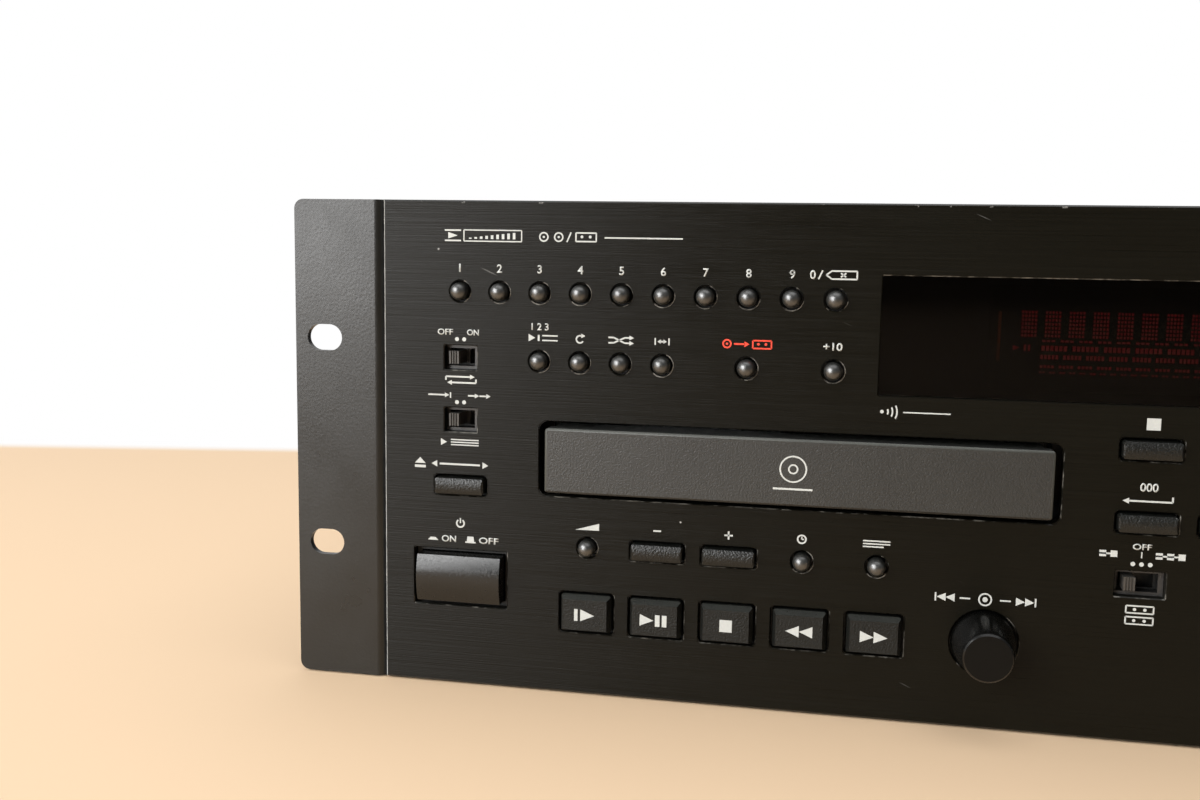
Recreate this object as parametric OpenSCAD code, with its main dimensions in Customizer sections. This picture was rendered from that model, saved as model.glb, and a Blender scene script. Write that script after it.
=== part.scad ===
// Rack-mount disc and cassette deck, three rack units high.
// Millimetres. X runs to the right, Y to the rear and Z up; the part stands on its feet at Z = 0.
// Places on the front are given from the left end of the rack front and from its lower edge.

/* [Rack front] */
// width over both rack ears
rack_w = 482; // [474:1:490]
// height of the front
rack_h = 132; // [130:0.5:140]
// width of one rack ear
ear_w = 25.5; // [24:0.5:28]
// steel thickness of the ears
ear_t = 2; // [1.5:0.1:2.3]
// outer radius of the bend between an ear and its flange
ear_bend_r = 2.5; // [2.4:0.1:4]
// radius of the outer corners of the ears
ear_corner_r = 2.6; // [1:0.1:4]
// depth of the side flange of an ear
ear_flange_d = 46; // [40:1:60]
// distance of the rack slots from the ends
slot_inset = 8.45; // [7.5:0.05:9.5]
// upright spacing of the rack slots
slot_span_z = 57.15; // [50:0.05:65]
// length of a rack slot
slot_l = 10; // [8:0.5:12]
// height of a rack slot
slot_h = 7.2; // [6:0.1:8]
// gap between an ear and the face plate
seam = 0.2; // [0.1:0.05:0.5]
// thickness of the aluminium face plate
face_t = 3; // [2.5:0.1:4]
// bevel along the edges of the face plate
face_edge = 0.4; // [0.2:0.05:0.6]
// bevel round the holes in the face plate
hole_edge = 0.25; // [0.1:0.05:0.4]
// height of the face plate above the table
face_lift = 0.5; // [0.3:0.1:3]

/* [Case] */
// depth of the case behind the face plate
case_d = 285; // [270:1:320]
// height of the case without its feet
case_h = 125; // [120:0.5:126]
// steel thickness of the chassis
sheet_t = 1.2; // [1:0.1:1.6]
// steel thickness of the cover
cover_t = 1; // [0.8:0.1:1.4]
// outer radius of the bends in the cover
cover_r = 2.5; // [2:0.1:4]
// gap between nested sheets
fit_gap = 0.2; // [0.1:0.05:0.4]
// gap under a piece that is bonded or screwed down
seat_gap = 0.1; // [0.05:0.01:0.2]
// height of the turned-up front edge of the chassis
flange_h = 10; // [6:0.5:11]
// depth of the rear lip of the cover
lip_h = 12; // [9:0.5:16]
// height of the feet
foot_h = 4; // [3:0.5:8]
// width of the feet
foot_d = 22; // [16:1:28]
// distance of the feet from the edges of the chassis
foot_inset = 22; // [18:1:40]
// width of a cooling slot
vent_w = 3; // [2:0.5:4]
// length of a cooling slot
vent_l = 46; // [30:1:60]
// spacing of the cooling slots
vent_pitch = 7; // [6:0.5:9]
// number of cooling slots in a row
vent_n = 12; // [6:1:14]

/* [Screws] */
// thread width of the case screws
screw_d = 3; // [2.5:0.1:3.5]
// head width of the case screws
screw_head_d = 6; // [5.5:0.1:7]
// head height of the case screws
screw_head_h = 2; // [1.6:0.1:2.6]
// length of thread past the last sheet
screw_past = 1.5; // [1:0.1:3]
// play of a screw in its hole
screw_play = 0.2; // [0.1:0.05:0.4]

/* [Frame and boards] */
// thickness of the frame behind the face plate
frame_t = 2.5; // [2:0.1:3]
// depth of the stiffening rim of the frame
rim_d = 10.5; // [6:0.5:12]
// thickness of the stiffening rim
rim_t = 2; // [1.5:0.1:2.5]
// distance from the face plate to the control board
board_gap = 12; // [11:0.5:15]
// distance from the control board to the cassette door
board_to_door = 9.5; // [8:0.5:11]
// thickness of the circuit boards
board_t = 1.6; // [1.2:0.1:2]
// width of the bosses that carry the control board
boss_d = 5; // [4:0.5:6]
// distance of a boss from the ends of the control board
boss_in = 3; // [2.6:0.1:4]
// distance of a boss from the upper edge of the control board
boss_down = 4; // [3:0.1:5]
// distance of the lower middle boss from the middle of the drawer
boss_mid = 36; // [34:0.5:38]
// distance of the upper middle boss from the middle of the drawer
boss_high = 74; // [72:0.5:76]
// width of a tact switch
switch_w = 6; // [5.4:0.1:6.6]
// height of a tact switch
switch_h = 4.5; // [4:0.1:5]

/* [Keys] */
// travel of a key
key_travel = 0.8; // [0.5:0.1:1.2]
// visible gap between a key and the face plate
ring_gap = 0.6; // [0.4:0.05:0.8]
// play of a key in the frame
key_gap = 0.3; // [0.2:0.05:0.35]
// width of the lip that holds a key behind the frame
key_lip = 0.9; // [0.7:0.1:1.1]
// thickness of that lip
key_lip_t = 1.2; // [0.8:0.1:1.5]
// gap between that lip and the frame
lip_gap = 0.25; // [0.15:0.05:0.35]
// width of the stem that enters the switch
stem_d = 3; // [2.4:0.1:3.4]
// length of stem inside the switch
stem_in = 1; // [0.6:0.1:1.4]
// width of a round key
round_d = 4.6; // [4:0.1:5.2]
// how far a round key stands proud
round_proud = 3.2; // [2.6:0.1:4]
// width of a bar key
bar_w = 13.6; // [12:0.1:14.4]
// height of a bar key
bar_h = 4.4; // [3.6:0.1:5]
// how far a bar key stands proud
bar_proud = 2.2; // [1.5:0.1:3]
// corner radius of the bar and transport keys
key_r = 0.8; // [0.4:0.1:1.2]
// crown of the face of a bar key
bar_crown = 0.55; // [0.2:0.05:0.8]
// bevel at the ends of a bar key
bar_edge = 0.5; // [0.2:0.1:0.8]
// width of a transport key at its foot
block_w = 13.8; // [12.6:0.1:14.8]
// height of a transport key at its foot
block_h = 10.1; // [9:0.1:11]
// how far a transport key stands proud
block_proud = 2.4; // [1.6:0.1:3.2]
// slope of the sides of a transport key
block_edge = 0.9; // [0.4:0.1:1.4]

/* [Key places] */
// first number key from the left
digit_x = 47.1; // [45:0.1:50]
// spacing of the number keys
digit_pitch = 10.94; // [10.5:0.02:11.2]
// height of the number keys
digit_z = 108; // [106:0.1:112]
// height of the program keys
prog_z = 90; // [87:0.1:93]
// first transport key from the left
main_x = 82.7; // [80:0.1:84]
// spacing of the transport and tape keys
main_pitch = 18.9; // [18:0.05:19]
// height of the transport keys
main_z = 22.45; // [20:0.05:24]
// height of the pitch and time keys
small_z = 40.35; // [39:0.05:42]
// first tape key from the left
tape_x = 222.1; // [220:0.1:224]
// height of the upper tape keys
tape_up_z = 73.5; // [72:0.1:75]
// height of the lower tape keys
tape_low_z = 55.45; // [54:0.05:57]
// height of the open key
open_z = 55.45; // [54:0.05:57]
// middle of the switches at the left end
left_x = 47.3; // [46:0.1:49]

/* [Power button] */
// width of the power button
power_w = 23.4; // [21:0.1:25]
// height of the power button
power_h = 12.8; // [11:0.1:14]
// how far its edges stand proud
power_proud = 1.7; // [0.5:0.1:2]
// bulge of its face
power_bulge = 1.3; // [1:0.1:3]
// visible gap round the power button
power_ring = 1.5; // [1:0.1:1.6]
// travel of the power button
power_travel = 3.5; // [2.5:0.1:4]
// width of its stem
power_stem = 5; // [4:0.1:6]
// height of the power button on the front
power_z = 29.75; // [28:0.05:31]

/* [Slide switches] */
// width of a slide switch hole with two places
slide_w = 9.2; // [9:0.1:10]
// height of the slide switch holes
slide_h = 6.6; // [6:0.1:7.5]
// extra width of the hole with three places
slide_more = 2.6; // [2:0.1:3.5]
// width of the frame edge that shows in the hole
slide_edge = 0.9; // [0.6:0.1:1.1]
// width of the slider
slider_w = 2.7; // [2.2:0.1:3]
// height of the slider
slider_h = 3.4; // [2.8:0.1:3.8]
// width and depth of the grooves in the face of a slider
slider_groove = 0.4; // [0.3:0.05:0.5]
// travel of a slider with two places
slider_travel = 3.7; // [3:0.1:3.8]
// travel of the slider with three places
slider_travel_3 = 5; // [4:0.1:5.5]
// play of a slider
slider_gap = 0.3; // [0.2:0.05:0.4]
// height of the repeat switch
repeat_z = 90.25; // [88:0.05:93]
// height of the play mode switch
mode_z = 73.4; // [71:0.05:76]
// middle of the relay switch from the left
relay_x = 221.5; // [220:0.1:223]
// height of the relay switch
relay_z = 40.1; // [38:0.1:42]

/* [Knobs] */
// width of a knob at its foot
knob_d = 16.2; // [15:0.1:19]
// width of a knob at its face
knob_face_d = 12.4; // [11:0.1:15]
// how far a knob stands proud
knob_proud = 13; // [9:0.1:16]
// bevel at the face of a knob
knob_edge = 0.5; // [0.3:0.1:1.2]
// gap between a knob and the face plate
knob_ring = 0.4; // [0.3:0.05:0.8]
// depth to which a knob enters the face plate
knob_sink = 1.5; // [1:0.1:1.7]
// width of the knob shafts
shaft_d = 6; // [5:0.1:6.5]
// play of a shaft in its bearing
shaft_gap = 0.1; // [0.05:0.01:0.2]
// length of shaft inside the knob
shaft_in = 8; // [6:0.5:8.5]
// push travel of the track knob
knob_travel = 0.8; // [0.5:0.1:1]
// body width of the parts behind the knobs
pot_w = 13; // [12:0.5:15]
// body height of the parts behind the knobs
pot_h = 7; // [5:0.5:7.2]
// track knob from the left
track_x = 185.5; // [184:0.1:187]
// level knob from the left
level_x = 259.9; // [256:0.1:264]
// height of the knobs
knob_z = 22.5; // [20:0.1:24]

/* [Display] */
// left edge of the display window
window_x = 156.9; // [155:0.1:158]
// distance from the display window to the cassette door
window_to_door = 21; // [18:0.5:30]
// lower edge of the display window
window_z = 84.3; // [83:0.1:86]
// height of the display window
window_h = 30; // [28:0.1:31]
// corner radius of the display window
window_r = 0.6; // [0.4:0.1:1]
// thickness of the pane in front of its lip
pane_t = 2.4; // [2:0.1:2.5]
// width of the lip of the pane behind the face plate
pane_lip = 2; // [1.5:0.1:2.4]
// thickness of that lip
pane_lip_t = 1.5; // [1:0.1:2]
// play of the pane in the face plate
pane_gap = 0.15; // [0.1:0.05:0.3]
// height of the display tube
tube_h = 26; // [22:0.5:28]
// thickness of the display tube
tube_t = 7; // [5:0.5:7.5]
// distance from the left edge of the window to the tube
tube_left = 27.1; // [25:0.1:29]
// distance from the tube to the right edge of the window
tube_right = 4; // [3:0.1:6]

/* [Disc drawer] */
// middle of the drawer from the left
drawer_x = 135.6; // [135:0.1:136.5]
// middle of the drawer in height
drawer_z = 64; // [63.5:0.1:65]
// gap at each end of the drawer front
drawer_ring_x = 2.25; // [1.5:0.05:2.5]
// gap above and below the drawer front
drawer_ring_z = 1.45; // [1.2:0.05:1.8]
// corner radius of the drawer hole
drawer_hole_r = 2.5; // [1.5:0.1:3.5]
// width of the drawer front
drawer_w = 128.3; // [127:0.1:130]
// height of the drawer front
drawer_h = 17.3; // [16:0.1:18]
// thickness of the drawer front
drawer_t = 4.5; // [4:0.1:5]
// how far the drawer front stands proud
drawer_proud = 3; // [2:0.1:3.5]
// bevel of the drawer front
drawer_edge = 0.6; // [0.3:0.1:1]
// travel of the drawer
drawer_travel = 128; // [110:1:135]
// width of the tray
tray_w = 124; // [123:0.5:126]
// length of the tray
tray_l = 172; // [168:1:190]
// height of the runners of the tray
runner_h = 9; // [7:0.5:10]
// width of the runners of the tray
runner_w = 4; // [3:0.5:5]
// thickness of the tray
tray_t = 3; // [2.5:0.1:3.5]
// width of the place for a disc
disc_d = 121; // [120.5:0.1:122]
// depth of the place for a disc
disc_sink = 1.2; // [0.8:0.1:1.6]
// distance from the front of the tray to the middle of the disc
disc_y = 68; // [66:0.5:72]
// width of the slot in the tray
tray_slot_w = 40; // [36:1:46]
// running gap of the tray on its runners
tray_gap = 0.3; // [0.2:0.05:0.5]
// wall thickness of the loader
loader_t = 2.5; // [2:0.1:3]
// depth of the loader behind the control board
loader_d = 172; // [165:1:190]
// height of the loader floor below the tray
loader_drop = 9; // [8:0.5:12]
// width of the turntable
turntable_d = 28; // [26:1:32]
// thickness of the turntable
turntable_t = 2; // [1.5:0.1:2.5]
// width of the centring hub
hub_d = 14.6; // [14:0.1:14.9]
// height of the centring hub
hub_h = 2.2; // [1.5:0.1:2.5]
// width of the turntable spindle
spindle_d = 3; // [2:0.1:4]
// width of the turntable motor
disc_motor_d = 24; // [18:1:28]
// height of the turntable motor
disc_motor_h = 6; // [4:0.5:7]
// width of the loader legs
leg_d = 8; // [6:0.5:10]

/* [Cassette bay] */
// middle of the door from the right end, as a share of the rack width
door_share = 0.22; // [0.215:0.001:0.225]
// lower edge of the door
door_z = 37; // [36:0.5:38]
// width of the door
door_w = 110; // [109:0.5:112]
// height of the door
door_h = 74; // [72:0.5:76]
// thickness of the door
door_t = 4; // [3.5:0.1:4.5]
// gap round the door
door_gap = 0.8; // [0.6:0.1:1.2]
// corner radius of the door
door_r = 3; // [2:0.1:5]
// distance from the door face to its pivot
door_pivot = 8; // [7.5:0.1:8.5]
// width of the pivot pins
pin_d = 3; // [2.5:0.1:3.5]
// length of the pivot pins
pin_l = 3.2; // [2.5:0.1:4]
// play of the pivot pins
pin_gap = 0.1; // [0.05:0.01:0.15]
// thickness of the lugs that carry the pins
lug_t = 3; // [2.5:0.1:3.4]
// width of the view in the door
view_w = 78; // [70:1:84]
// height of the view in the door
view_h = 34; // [28:1:40]
// ledge that carries the pane in the door
view_ledge = 2; // [1.5:0.1:3]
// thickness of the pane in the door
view_t = 2; // [1.5:0.1:2.5]
// width of a cassette with its play
cassette_w = 102.4; // [101.5:0.1:103]
// thickness of a cassette with its play
cassette_t = 12.6; // [12.2:0.1:13]
// height of the reel middles above the lower edge of a cassette
reel_z = 29; // [28:0.5:30]
// spacing of the reels
reel_span = 42.5; // [42:0.1:43]
// length of the cassette cheeks on the door
cheek_h = 49; // [40:1:55]
// wall thickness of the cheeks
cheek_t = 2; // [1.5:0.1:2]
// wall thickness of the bay
bay_t = 2; // [1.5:0.1:2.5]
// height of the bay past the door
bay_past = 4; // [3:0.5:6]
// rest of a cassette above the pivot
cassette_rest = 2; // [1.5:0.1:3]
// gap between the door and a cassette
cassette_off = 0.8; // [0.5:0.1:1.2]
// inner depth of the bay behind the frame
bay_d = 17; // [16:0.5:19]
// room beside the lugs inside the bay
bay_room = 1.2; // [0.8:0.1:2]
// width of a reel spindle
reel_d = 6.6; // [6:0.1:7]
// length of a reel spindle in front of its flange
reel_l = 11; // [9:0.5:11.5]
// width of the flange of a reel spindle
reel_flange_d = 15; // [12:0.5:17]
// width of a flywheel
flywheel_d = 36; // [30:1:40]
// width of a capstan
capstan_d = 2.4; // [2:0.1:3]
// spacing of the capstans
capstan_span = 60; // [54:1:64]
// height of the capstans above the lower edge of a cassette
capstan_z = 7; // [6:0.5:8]
// thickness of a flywheel
flywheel_t = 5; // [4:0.5:7]
// width of the head block
head_w = 30; // [26:1:34]
// depth of the head block
head_d = 9; // [7:0.5:10]
// gap of the head block to a cassette and the bay
head_gap = 1.5; // [1:0.1:2]
// width of the tape motor
tape_motor_d = 30; // [26:1:34]
// length of the tape motor
tape_motor_l = 24; // [20:1:30]
// height of the tape motor above the reels
tape_motor_z = 20; // [16:1:24]
// width of the bearings behind the bay
bearing_d = 8; // [7:0.5:10]
// length of the bearings behind the bay
bearing_l = 3; // [2:0.5:4]

/* [Inside] */
// width of the transformer core
core_w = 66; // [56:1:72]
// depth of the transformer core
core_d = 40; // [30:1:46]
// height of the transformer core
core_h = 56; // [46:1:64]
// width of the main board
main_board_w = 190; // [160:1:195]
// depth of the main board
main_board_d = 120; // [100:1:130]
// height of the posts of the main board
post_h = 8; // [5:0.5:12]
// width of the posts
post_d = 6; // [5:0.5:8]

/* [Sockets] */
// width of a phono socket
phono_d = 8.3; // [8:0.1:8.6]
// length of a phono socket behind the case
phono_l = 9; // [8:0.1:10]
// spacing of the phono sockets
phono_pitch = 14; // [13:0.5:16]
// number of phono pairs
phono_n = 3; // [2:1:4]
// bore of the headphone socket
phones_d = 6.4; // [6.35:0.01:6.6]
// depth of the headphone socket
phones_l = 30; // [28:0.5:34]
// headphone socket from the left
phones_x = 296; // [293:0.5:298]
// width of the mains inlet
inlet_w = 28; // [27:0.1:30]
// height of the mains inlet
inlet_h = 21; // [20:0.1:23]
// depth of the mains inlet
inlet_d = 16; // [15:0.1:18]
// wall of the mains inlet
inlet_t = 2.2; // [1.5:0.1:2.6]
// middle of the inlet from the left
inlet_x = 70; // [60:1:90]
// height of the rear sockets above the chassis
socket_z = 40; // [34:1:60]

/* [Hidden] */
$fn = 48;
// the name of one node, or all of them
body_d = face_t + case_d;
front_y = knob_proud - (knob_proud + body_d + phono_l) / 2;
rear_y = front_y + body_d;
slot_span_x = rack_w - 2 * slot_inset;
face_w = rack_w - 2 * (ear_w + seam);
chassis_w = face_w - 2 * (cover_t + fit_gap);
case_top = foot_h + case_h;
floor_z = foot_h + sheet_t;
wall_top = case_top - cover_r - fit_gap;
// depths behind the front of the face plate
frame_back = face_t + frame_t;
board_v = face_t + board_gap;
board_back = board_v + board_t;
lip_v = frame_back + lip_gap;
stem_end = board_v - switch_h + stem_in;
// frame outline inside the chassis
frame_w = chassis_w - 2 * (sheet_t + 2 * fit_gap);
frame_low = floor_z + fit_gap;
frame_h = case_top - cover_t - 2 * fit_gap - frame_low;
// cassette door and display window
door_x = rack_w * (1 - door_share);
window_w = door_x - door_w / 2 - window_to_door - window_x;
tube_x = window_x + tube_left;
tube_w = window_w - tube_left - tube_right;
// control board outline
board_left = rack_w / 2 - frame_w / 2 + rim_t + 1.5;
board_right = door_x - door_w / 2 - board_to_door;
board_low = floor_z + flange_h - face_lift + 1;
board_high = frame_low + frame_h - rim_t - 1 - face_lift;
// disc drawer
drawer_hole_w = drawer_w + 2 * drawer_ring_x;
drawer_hole_h = drawer_h + 2 * drawer_ring_z;
tray_v = drawer_t - drawer_proud;
runner_z = drawer_z - 2;
disc_v = tray_v + disc_y;
loader_v = board_back + 1;
loader_w = tray_w + 2 * (tray_gap + loader_t);
ledge_top = runner_z - runner_h / 2 - tray_gap;
loader_floor = ledge_top - loader_drop;
// cassette bay
pivot_z = door_z + door_pivot;
bay_v = frame_back + bay_d;
bay_w = door_w + 2 * (door_gap + lug_t + bay_room);
bay_low = door_z - bay_past;
bay_high = door_z + door_h + bay_past;
cassette_v = door_t + cassette_off;
cassette_z = pivot_z + cassette_rest;
hub_z = cassette_z + reel_z;
// places inside and at the rear
core_x = inlet_x - rack_w / 2 + 6;
core_y = rear_y - sheet_t - inlet_d - inlet_t - 21 - core_d / 2;
main_board_x = chassis_w / 2 - sheet_t - 34 - main_board_w / 2;
main_board_y = rear_y - sheet_t - 16 - main_board_d / 2;
main_posts = [for (x = [-1, 1], y = [-1, 1])
  [main_board_x + x * (main_board_w / 2 - post_d), main_board_y + y * (main_board_d / 2 - post_d)]];
phono_block_w = phono_n * phono_pitch;
phono_block_h = 2 * phono_pitch;
phono_x = main_board_x + 20;
socket_row = foot_h + socket_z;
small_sockets = [phono_x - phono_block_w / 2 - 24, phono_x - phono_block_w / 2 - 44];
vent_rows = [[core_x, core_y], [main_board_x, main_board_y]];

// node, place from the left, height
round_keys = concat(
  [for (i = [0:9]) [str("number_key_", (i + 1) % 10), digit_x + i * digit_pitch, digit_z]],
  [["program_key", digit_x + 2 * digit_pitch, prog_z],
   ["call_key", digit_x + 3 * digit_pitch, prog_z],
   ["random_key", digit_x + 4 * digit_pitch, prog_z],
   ["ab_key", digit_x + 5 * digit_pitch, prog_z],
   ["sync_key", digit_x + 7 * digit_pitch, prog_z],
   ["plus_ten_key", digit_x + 9 * digit_pitch, prog_z],
   ["pitch_key", main_x, small_z],
   ["time_key", main_x + 3 * main_pitch, small_z],
   ["title_key", main_x + 4 * main_pitch, small_z]]);
bar_keys = [
  ["open_close_key", left_x, open_z],
  ["pitch_down_key", main_x + main_pitch, small_z],
  ["pitch_up_key", main_x + 2 * main_pitch, small_z],
  ["tape_stop_key", tape_x, tape_up_z],
  ["tape_play_key", tape_x + main_pitch, tape_up_z],
  ["tape_record_key", tape_x + 2 * main_pitch, tape_up_z],
  ["eject_key", tape_x + 2 * main_pitch, small_z],
  ["counter_key", tape_x, tape_low_z],
  ["tape_rewind_key", tape_x + main_pitch, tape_low_z],
  ["tape_forward_key", tape_x + 2 * main_pitch, tape_low_z]];
block_keys = [
  ["cue_key", main_x, main_z],
  ["play_key", main_x + main_pitch, main_z],
  ["stop_key", main_x + 2 * main_pitch, main_z],
  ["rewind_key", main_x + 3 * main_pitch, main_z],
  ["forward_key", main_x + 4 * main_pitch, main_z]];
// node, place, height, hole width, travel
sliders = [
  ["repeat_slider", left_x, repeat_z, slide_w, slider_travel],
  ["play_mode_slider", left_x, mode_z, slide_w, slider_travel],
  ["relay_slider", relay_x, relay_z, slide_w + slide_more, slider_travel_3]];
// node, place from the left
knobs = [["track_knob", track_x], ["level_knob", level_x]];
// bosses between the frame and the control board
bosses = [
  [board_left + boss_in, board_high - boss_down], [board_left + boss_in, drawer_z], [board_left + boss_in, board_low + boss_in],
  [drawer_x + boss_mid, board_low + boss_in], [drawer_x + boss_high, board_high - boss_down],
  [board_right - boss_in, board_high - boss_down], [board_right - boss_in, small_z]];

// place a piece on the front: from the left, from the lower edge, depth behind the face
module at_face(x, z, v = 0)
  translate([x - rack_w / 2, front_y + v, face_lift + z]) children();

// an outline in X and Z, from depth v, t deep
module slab(v, t)
  translate([0, v + t, 0]) rotate([90, 0, 0]) linear_extrude(t) children();

// a round bar along Y
module rod(d, v, l)
  translate([0, v, 0]) rotate([-90, 0, 0]) cylinder(d = d, h = l);

// a round bar along X
module bar_x(d, l)
  rotate([0, 90, 0]) cylinder(d = d, h = l);

// a rectangle with round corners
module round_rect(w, h, r) {
  square([w - 2 * r, h], center = true);
  square([w, h - 2 * r], center = true);
  for (x = [-1, 1], z = [-1, 1])
    translate([x * (w / 2 - r), z * (h / 2 - r)]) circle(r);
}

// a slot with round ends, l long along X
module slot(l, h) {
  square([l - h, h], center = true);
  for (x = [-1, 1]) translate([x * (l - h) / 2, 0]) circle(d = h);
}

// a box from its lower corner, in the frame of the front
module box(x, y, z, w, d, h)
  translate([x, y, z]) cube([w, d, h]);

// a block from depth a to b whose front edges slope in by edge over the depth run
module bevelled(w, h, r, a, b, edge, run) {
  intersection() {
    slab(a, b - a) round_rect(w, h, r);
    translate([0, 0, -h]) linear_extrude(2 * h)
      polygon([[-w / 2 + edge, a], [w / 2 - edge, a], [w / 2, a + run], [w / 2, b + 1], [-w / 2, b + 1], [-w / 2, a + run]]);
    translate([-w, 0, 0]) rotate([90, 0, 90]) linear_extrude(2 * w)
      polygon([[a, -h / 2 + edge], [a + run, -h / 2], [b + 1, -h / 2], [b + 1, h / 2], [a + run, h / 2], [a, h / 2 - edge]]);
  }
}

// cutter for a bevelled round hole in the face plate
module round_hole(d) {
  rod(d, -1, face_t + 2);
  translate([0, -0.1, 0]) rotate([-90, 0, 0])
    cylinder(d1 = d + 2 * hole_edge + 0.2, d2 = d, h = hole_edge + 0.1);
}

// cutter for a bevelled square hole in the face plate
module square_hole(w, h, r) {
  c = hole_edge + 0.1;
  slab(-1, face_t + 2) round_rect(w, h, r);
  intersection() {
    slab(-0.1, c) round_rect(w + 2 * c, h + 2 * c, r + c);
    translate([0, 0, -h]) linear_extrude(2 * h)
      polygon([[-w / 2 - c, -0.1], [w / 2 + c, -0.1], [w / 2, c - 0.1], [-w / 2, c - 0.1]]);
    translate([-w, 0, 0]) rotate([90, 0, 90]) linear_extrude(2 * w)
      polygon([[-0.1, -h / 2 - c], [c - 0.1, -h / 2], [c - 0.1, h / 2], [-0.1, h / 2 + c]]);
  }
}

// places of the screws on one side: depth, height
side_screws = [[ear_flange_d - 16, 26], [ear_flange_d - 16, rack_h - 26],
  [case_d / 2 + 10, 20], [case_d - 22, 20]];
// places of the screws along the rear lip
rear_screws = [for (i = [-1.5:1:1.5]) i * face_w / 3.6];
rear_screw_z = case_top - lip_h / 2 - cover_t / 2;

// holes for the side screws, d wide
module side_holes(d)
  for (p = side_screws)
    translate([-rack_w / 2, front_y + p[0], face_lift + p[1]]) bar_x(d, rack_w);

// holes for the rear screws
module rear_holes(d)
  for (x = rear_screws)
    translate([x, rear_y - lip_h, rear_screw_z]) rod(d, 0, 2 * lip_h);

// the face plate
module front_panel() color("#2b2c2e") {
  difference() {
    translate([0, front_y, face_lift + rack_h / 2]) intersection() {
      slab(0, face_t) square([face_w, rack_h], center = true);
      translate([0, 0, -rack_h]) linear_extrude(2 * rack_h)
        polygon([[-face_w / 2 + face_edge, 0], [face_w / 2 - face_edge, 0], [face_w / 2, face_edge], [face_w / 2, face_t], [-face_w / 2, face_t], [-face_w / 2, face_edge]]);
      translate([-face_w, 0, 0]) rotate([90, 0, 90]) linear_extrude(2 * face_w)
        polygon([[0, -rack_h / 2 + face_edge], [face_edge, -rack_h / 2], [face_t, -rack_h / 2], [face_t, rack_h / 2], [face_edge, rack_h / 2], [0, rack_h / 2 - face_edge]]);
    }
    for (k = round_keys) at_face(k[1], k[2]) round_hole(round_d + 2 * ring_gap);
    for (k = bar_keys) at_face(k[1], k[2]) square_hole(bar_w + 2 * ring_gap, bar_h + 2 * ring_gap, key_r + 0.5 * ring_gap);
    for (k = block_keys) at_face(k[1], k[2]) square_hole(block_w + 2 * ring_gap, block_h + 2 * ring_gap, key_r + 0.5 * ring_gap);
    for (s = sliders) at_face(s[1], s[2]) square_hole(s[3], slide_h, 0.4);
    for (k = knobs) at_face(k[1], knob_z) round_hole(knob_d + 2 * knob_ring);
    at_face(left_x, power_z) square_hole(power_w + 2 * power_ring, power_h + 2 * power_ring, 0.5);
    at_face(drawer_x, drawer_z) square_hole(drawer_hole_w, drawer_hole_h, drawer_hole_r);
    at_face(window_x + window_w / 2, window_z + window_h / 2) square_hole(window_w, window_h, window_r);
    at_face(door_x, door_z + door_h / 2) square_hole(door_w + 2 * door_gap, door_h + 2 * door_gap, door_r + door_gap);
    at_face(phones_x, knob_z) round_hole(phones_d + 4);
  }
}

// one rack ear at the left end
module ear() {
  r = ear_bend_r;
  difference() {
    intersection() {
      translate([-rack_w / 2, front_y, face_lift]) linear_extrude(rack_h) {
        square([ear_w - r, ear_t]);
        translate([ear_w - ear_t, r]) square([ear_t, ear_flange_d - r]);
        translate([ear_w - r, r]) difference() {
          intersection() {
            circle(r);
            translate([0, -r]) square(r);
          }
          circle(r - ear_t);
        }
      }
      translate([-rack_w / 2 + ear_w, front_y, face_lift + rack_h / 2])
        slab(-1, ear_flange_d + 2) round_rect(2 * ear_w, rack_h, ear_corner_r);
    }
    for (z = [-1, 1])
      translate([-slot_span_x / 2, front_y, face_lift + rack_h / 2 + z * slot_span_z / 2])
        slab(-1, ear_t + 2) slot(slot_l, slot_h);
    side_holes(screw_d + 2 * screw_play);
  }
}

module rack_ears() color("#3a3b3d") {
  ear();
  mirror([1, 0, 0]) ear();
}

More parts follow.
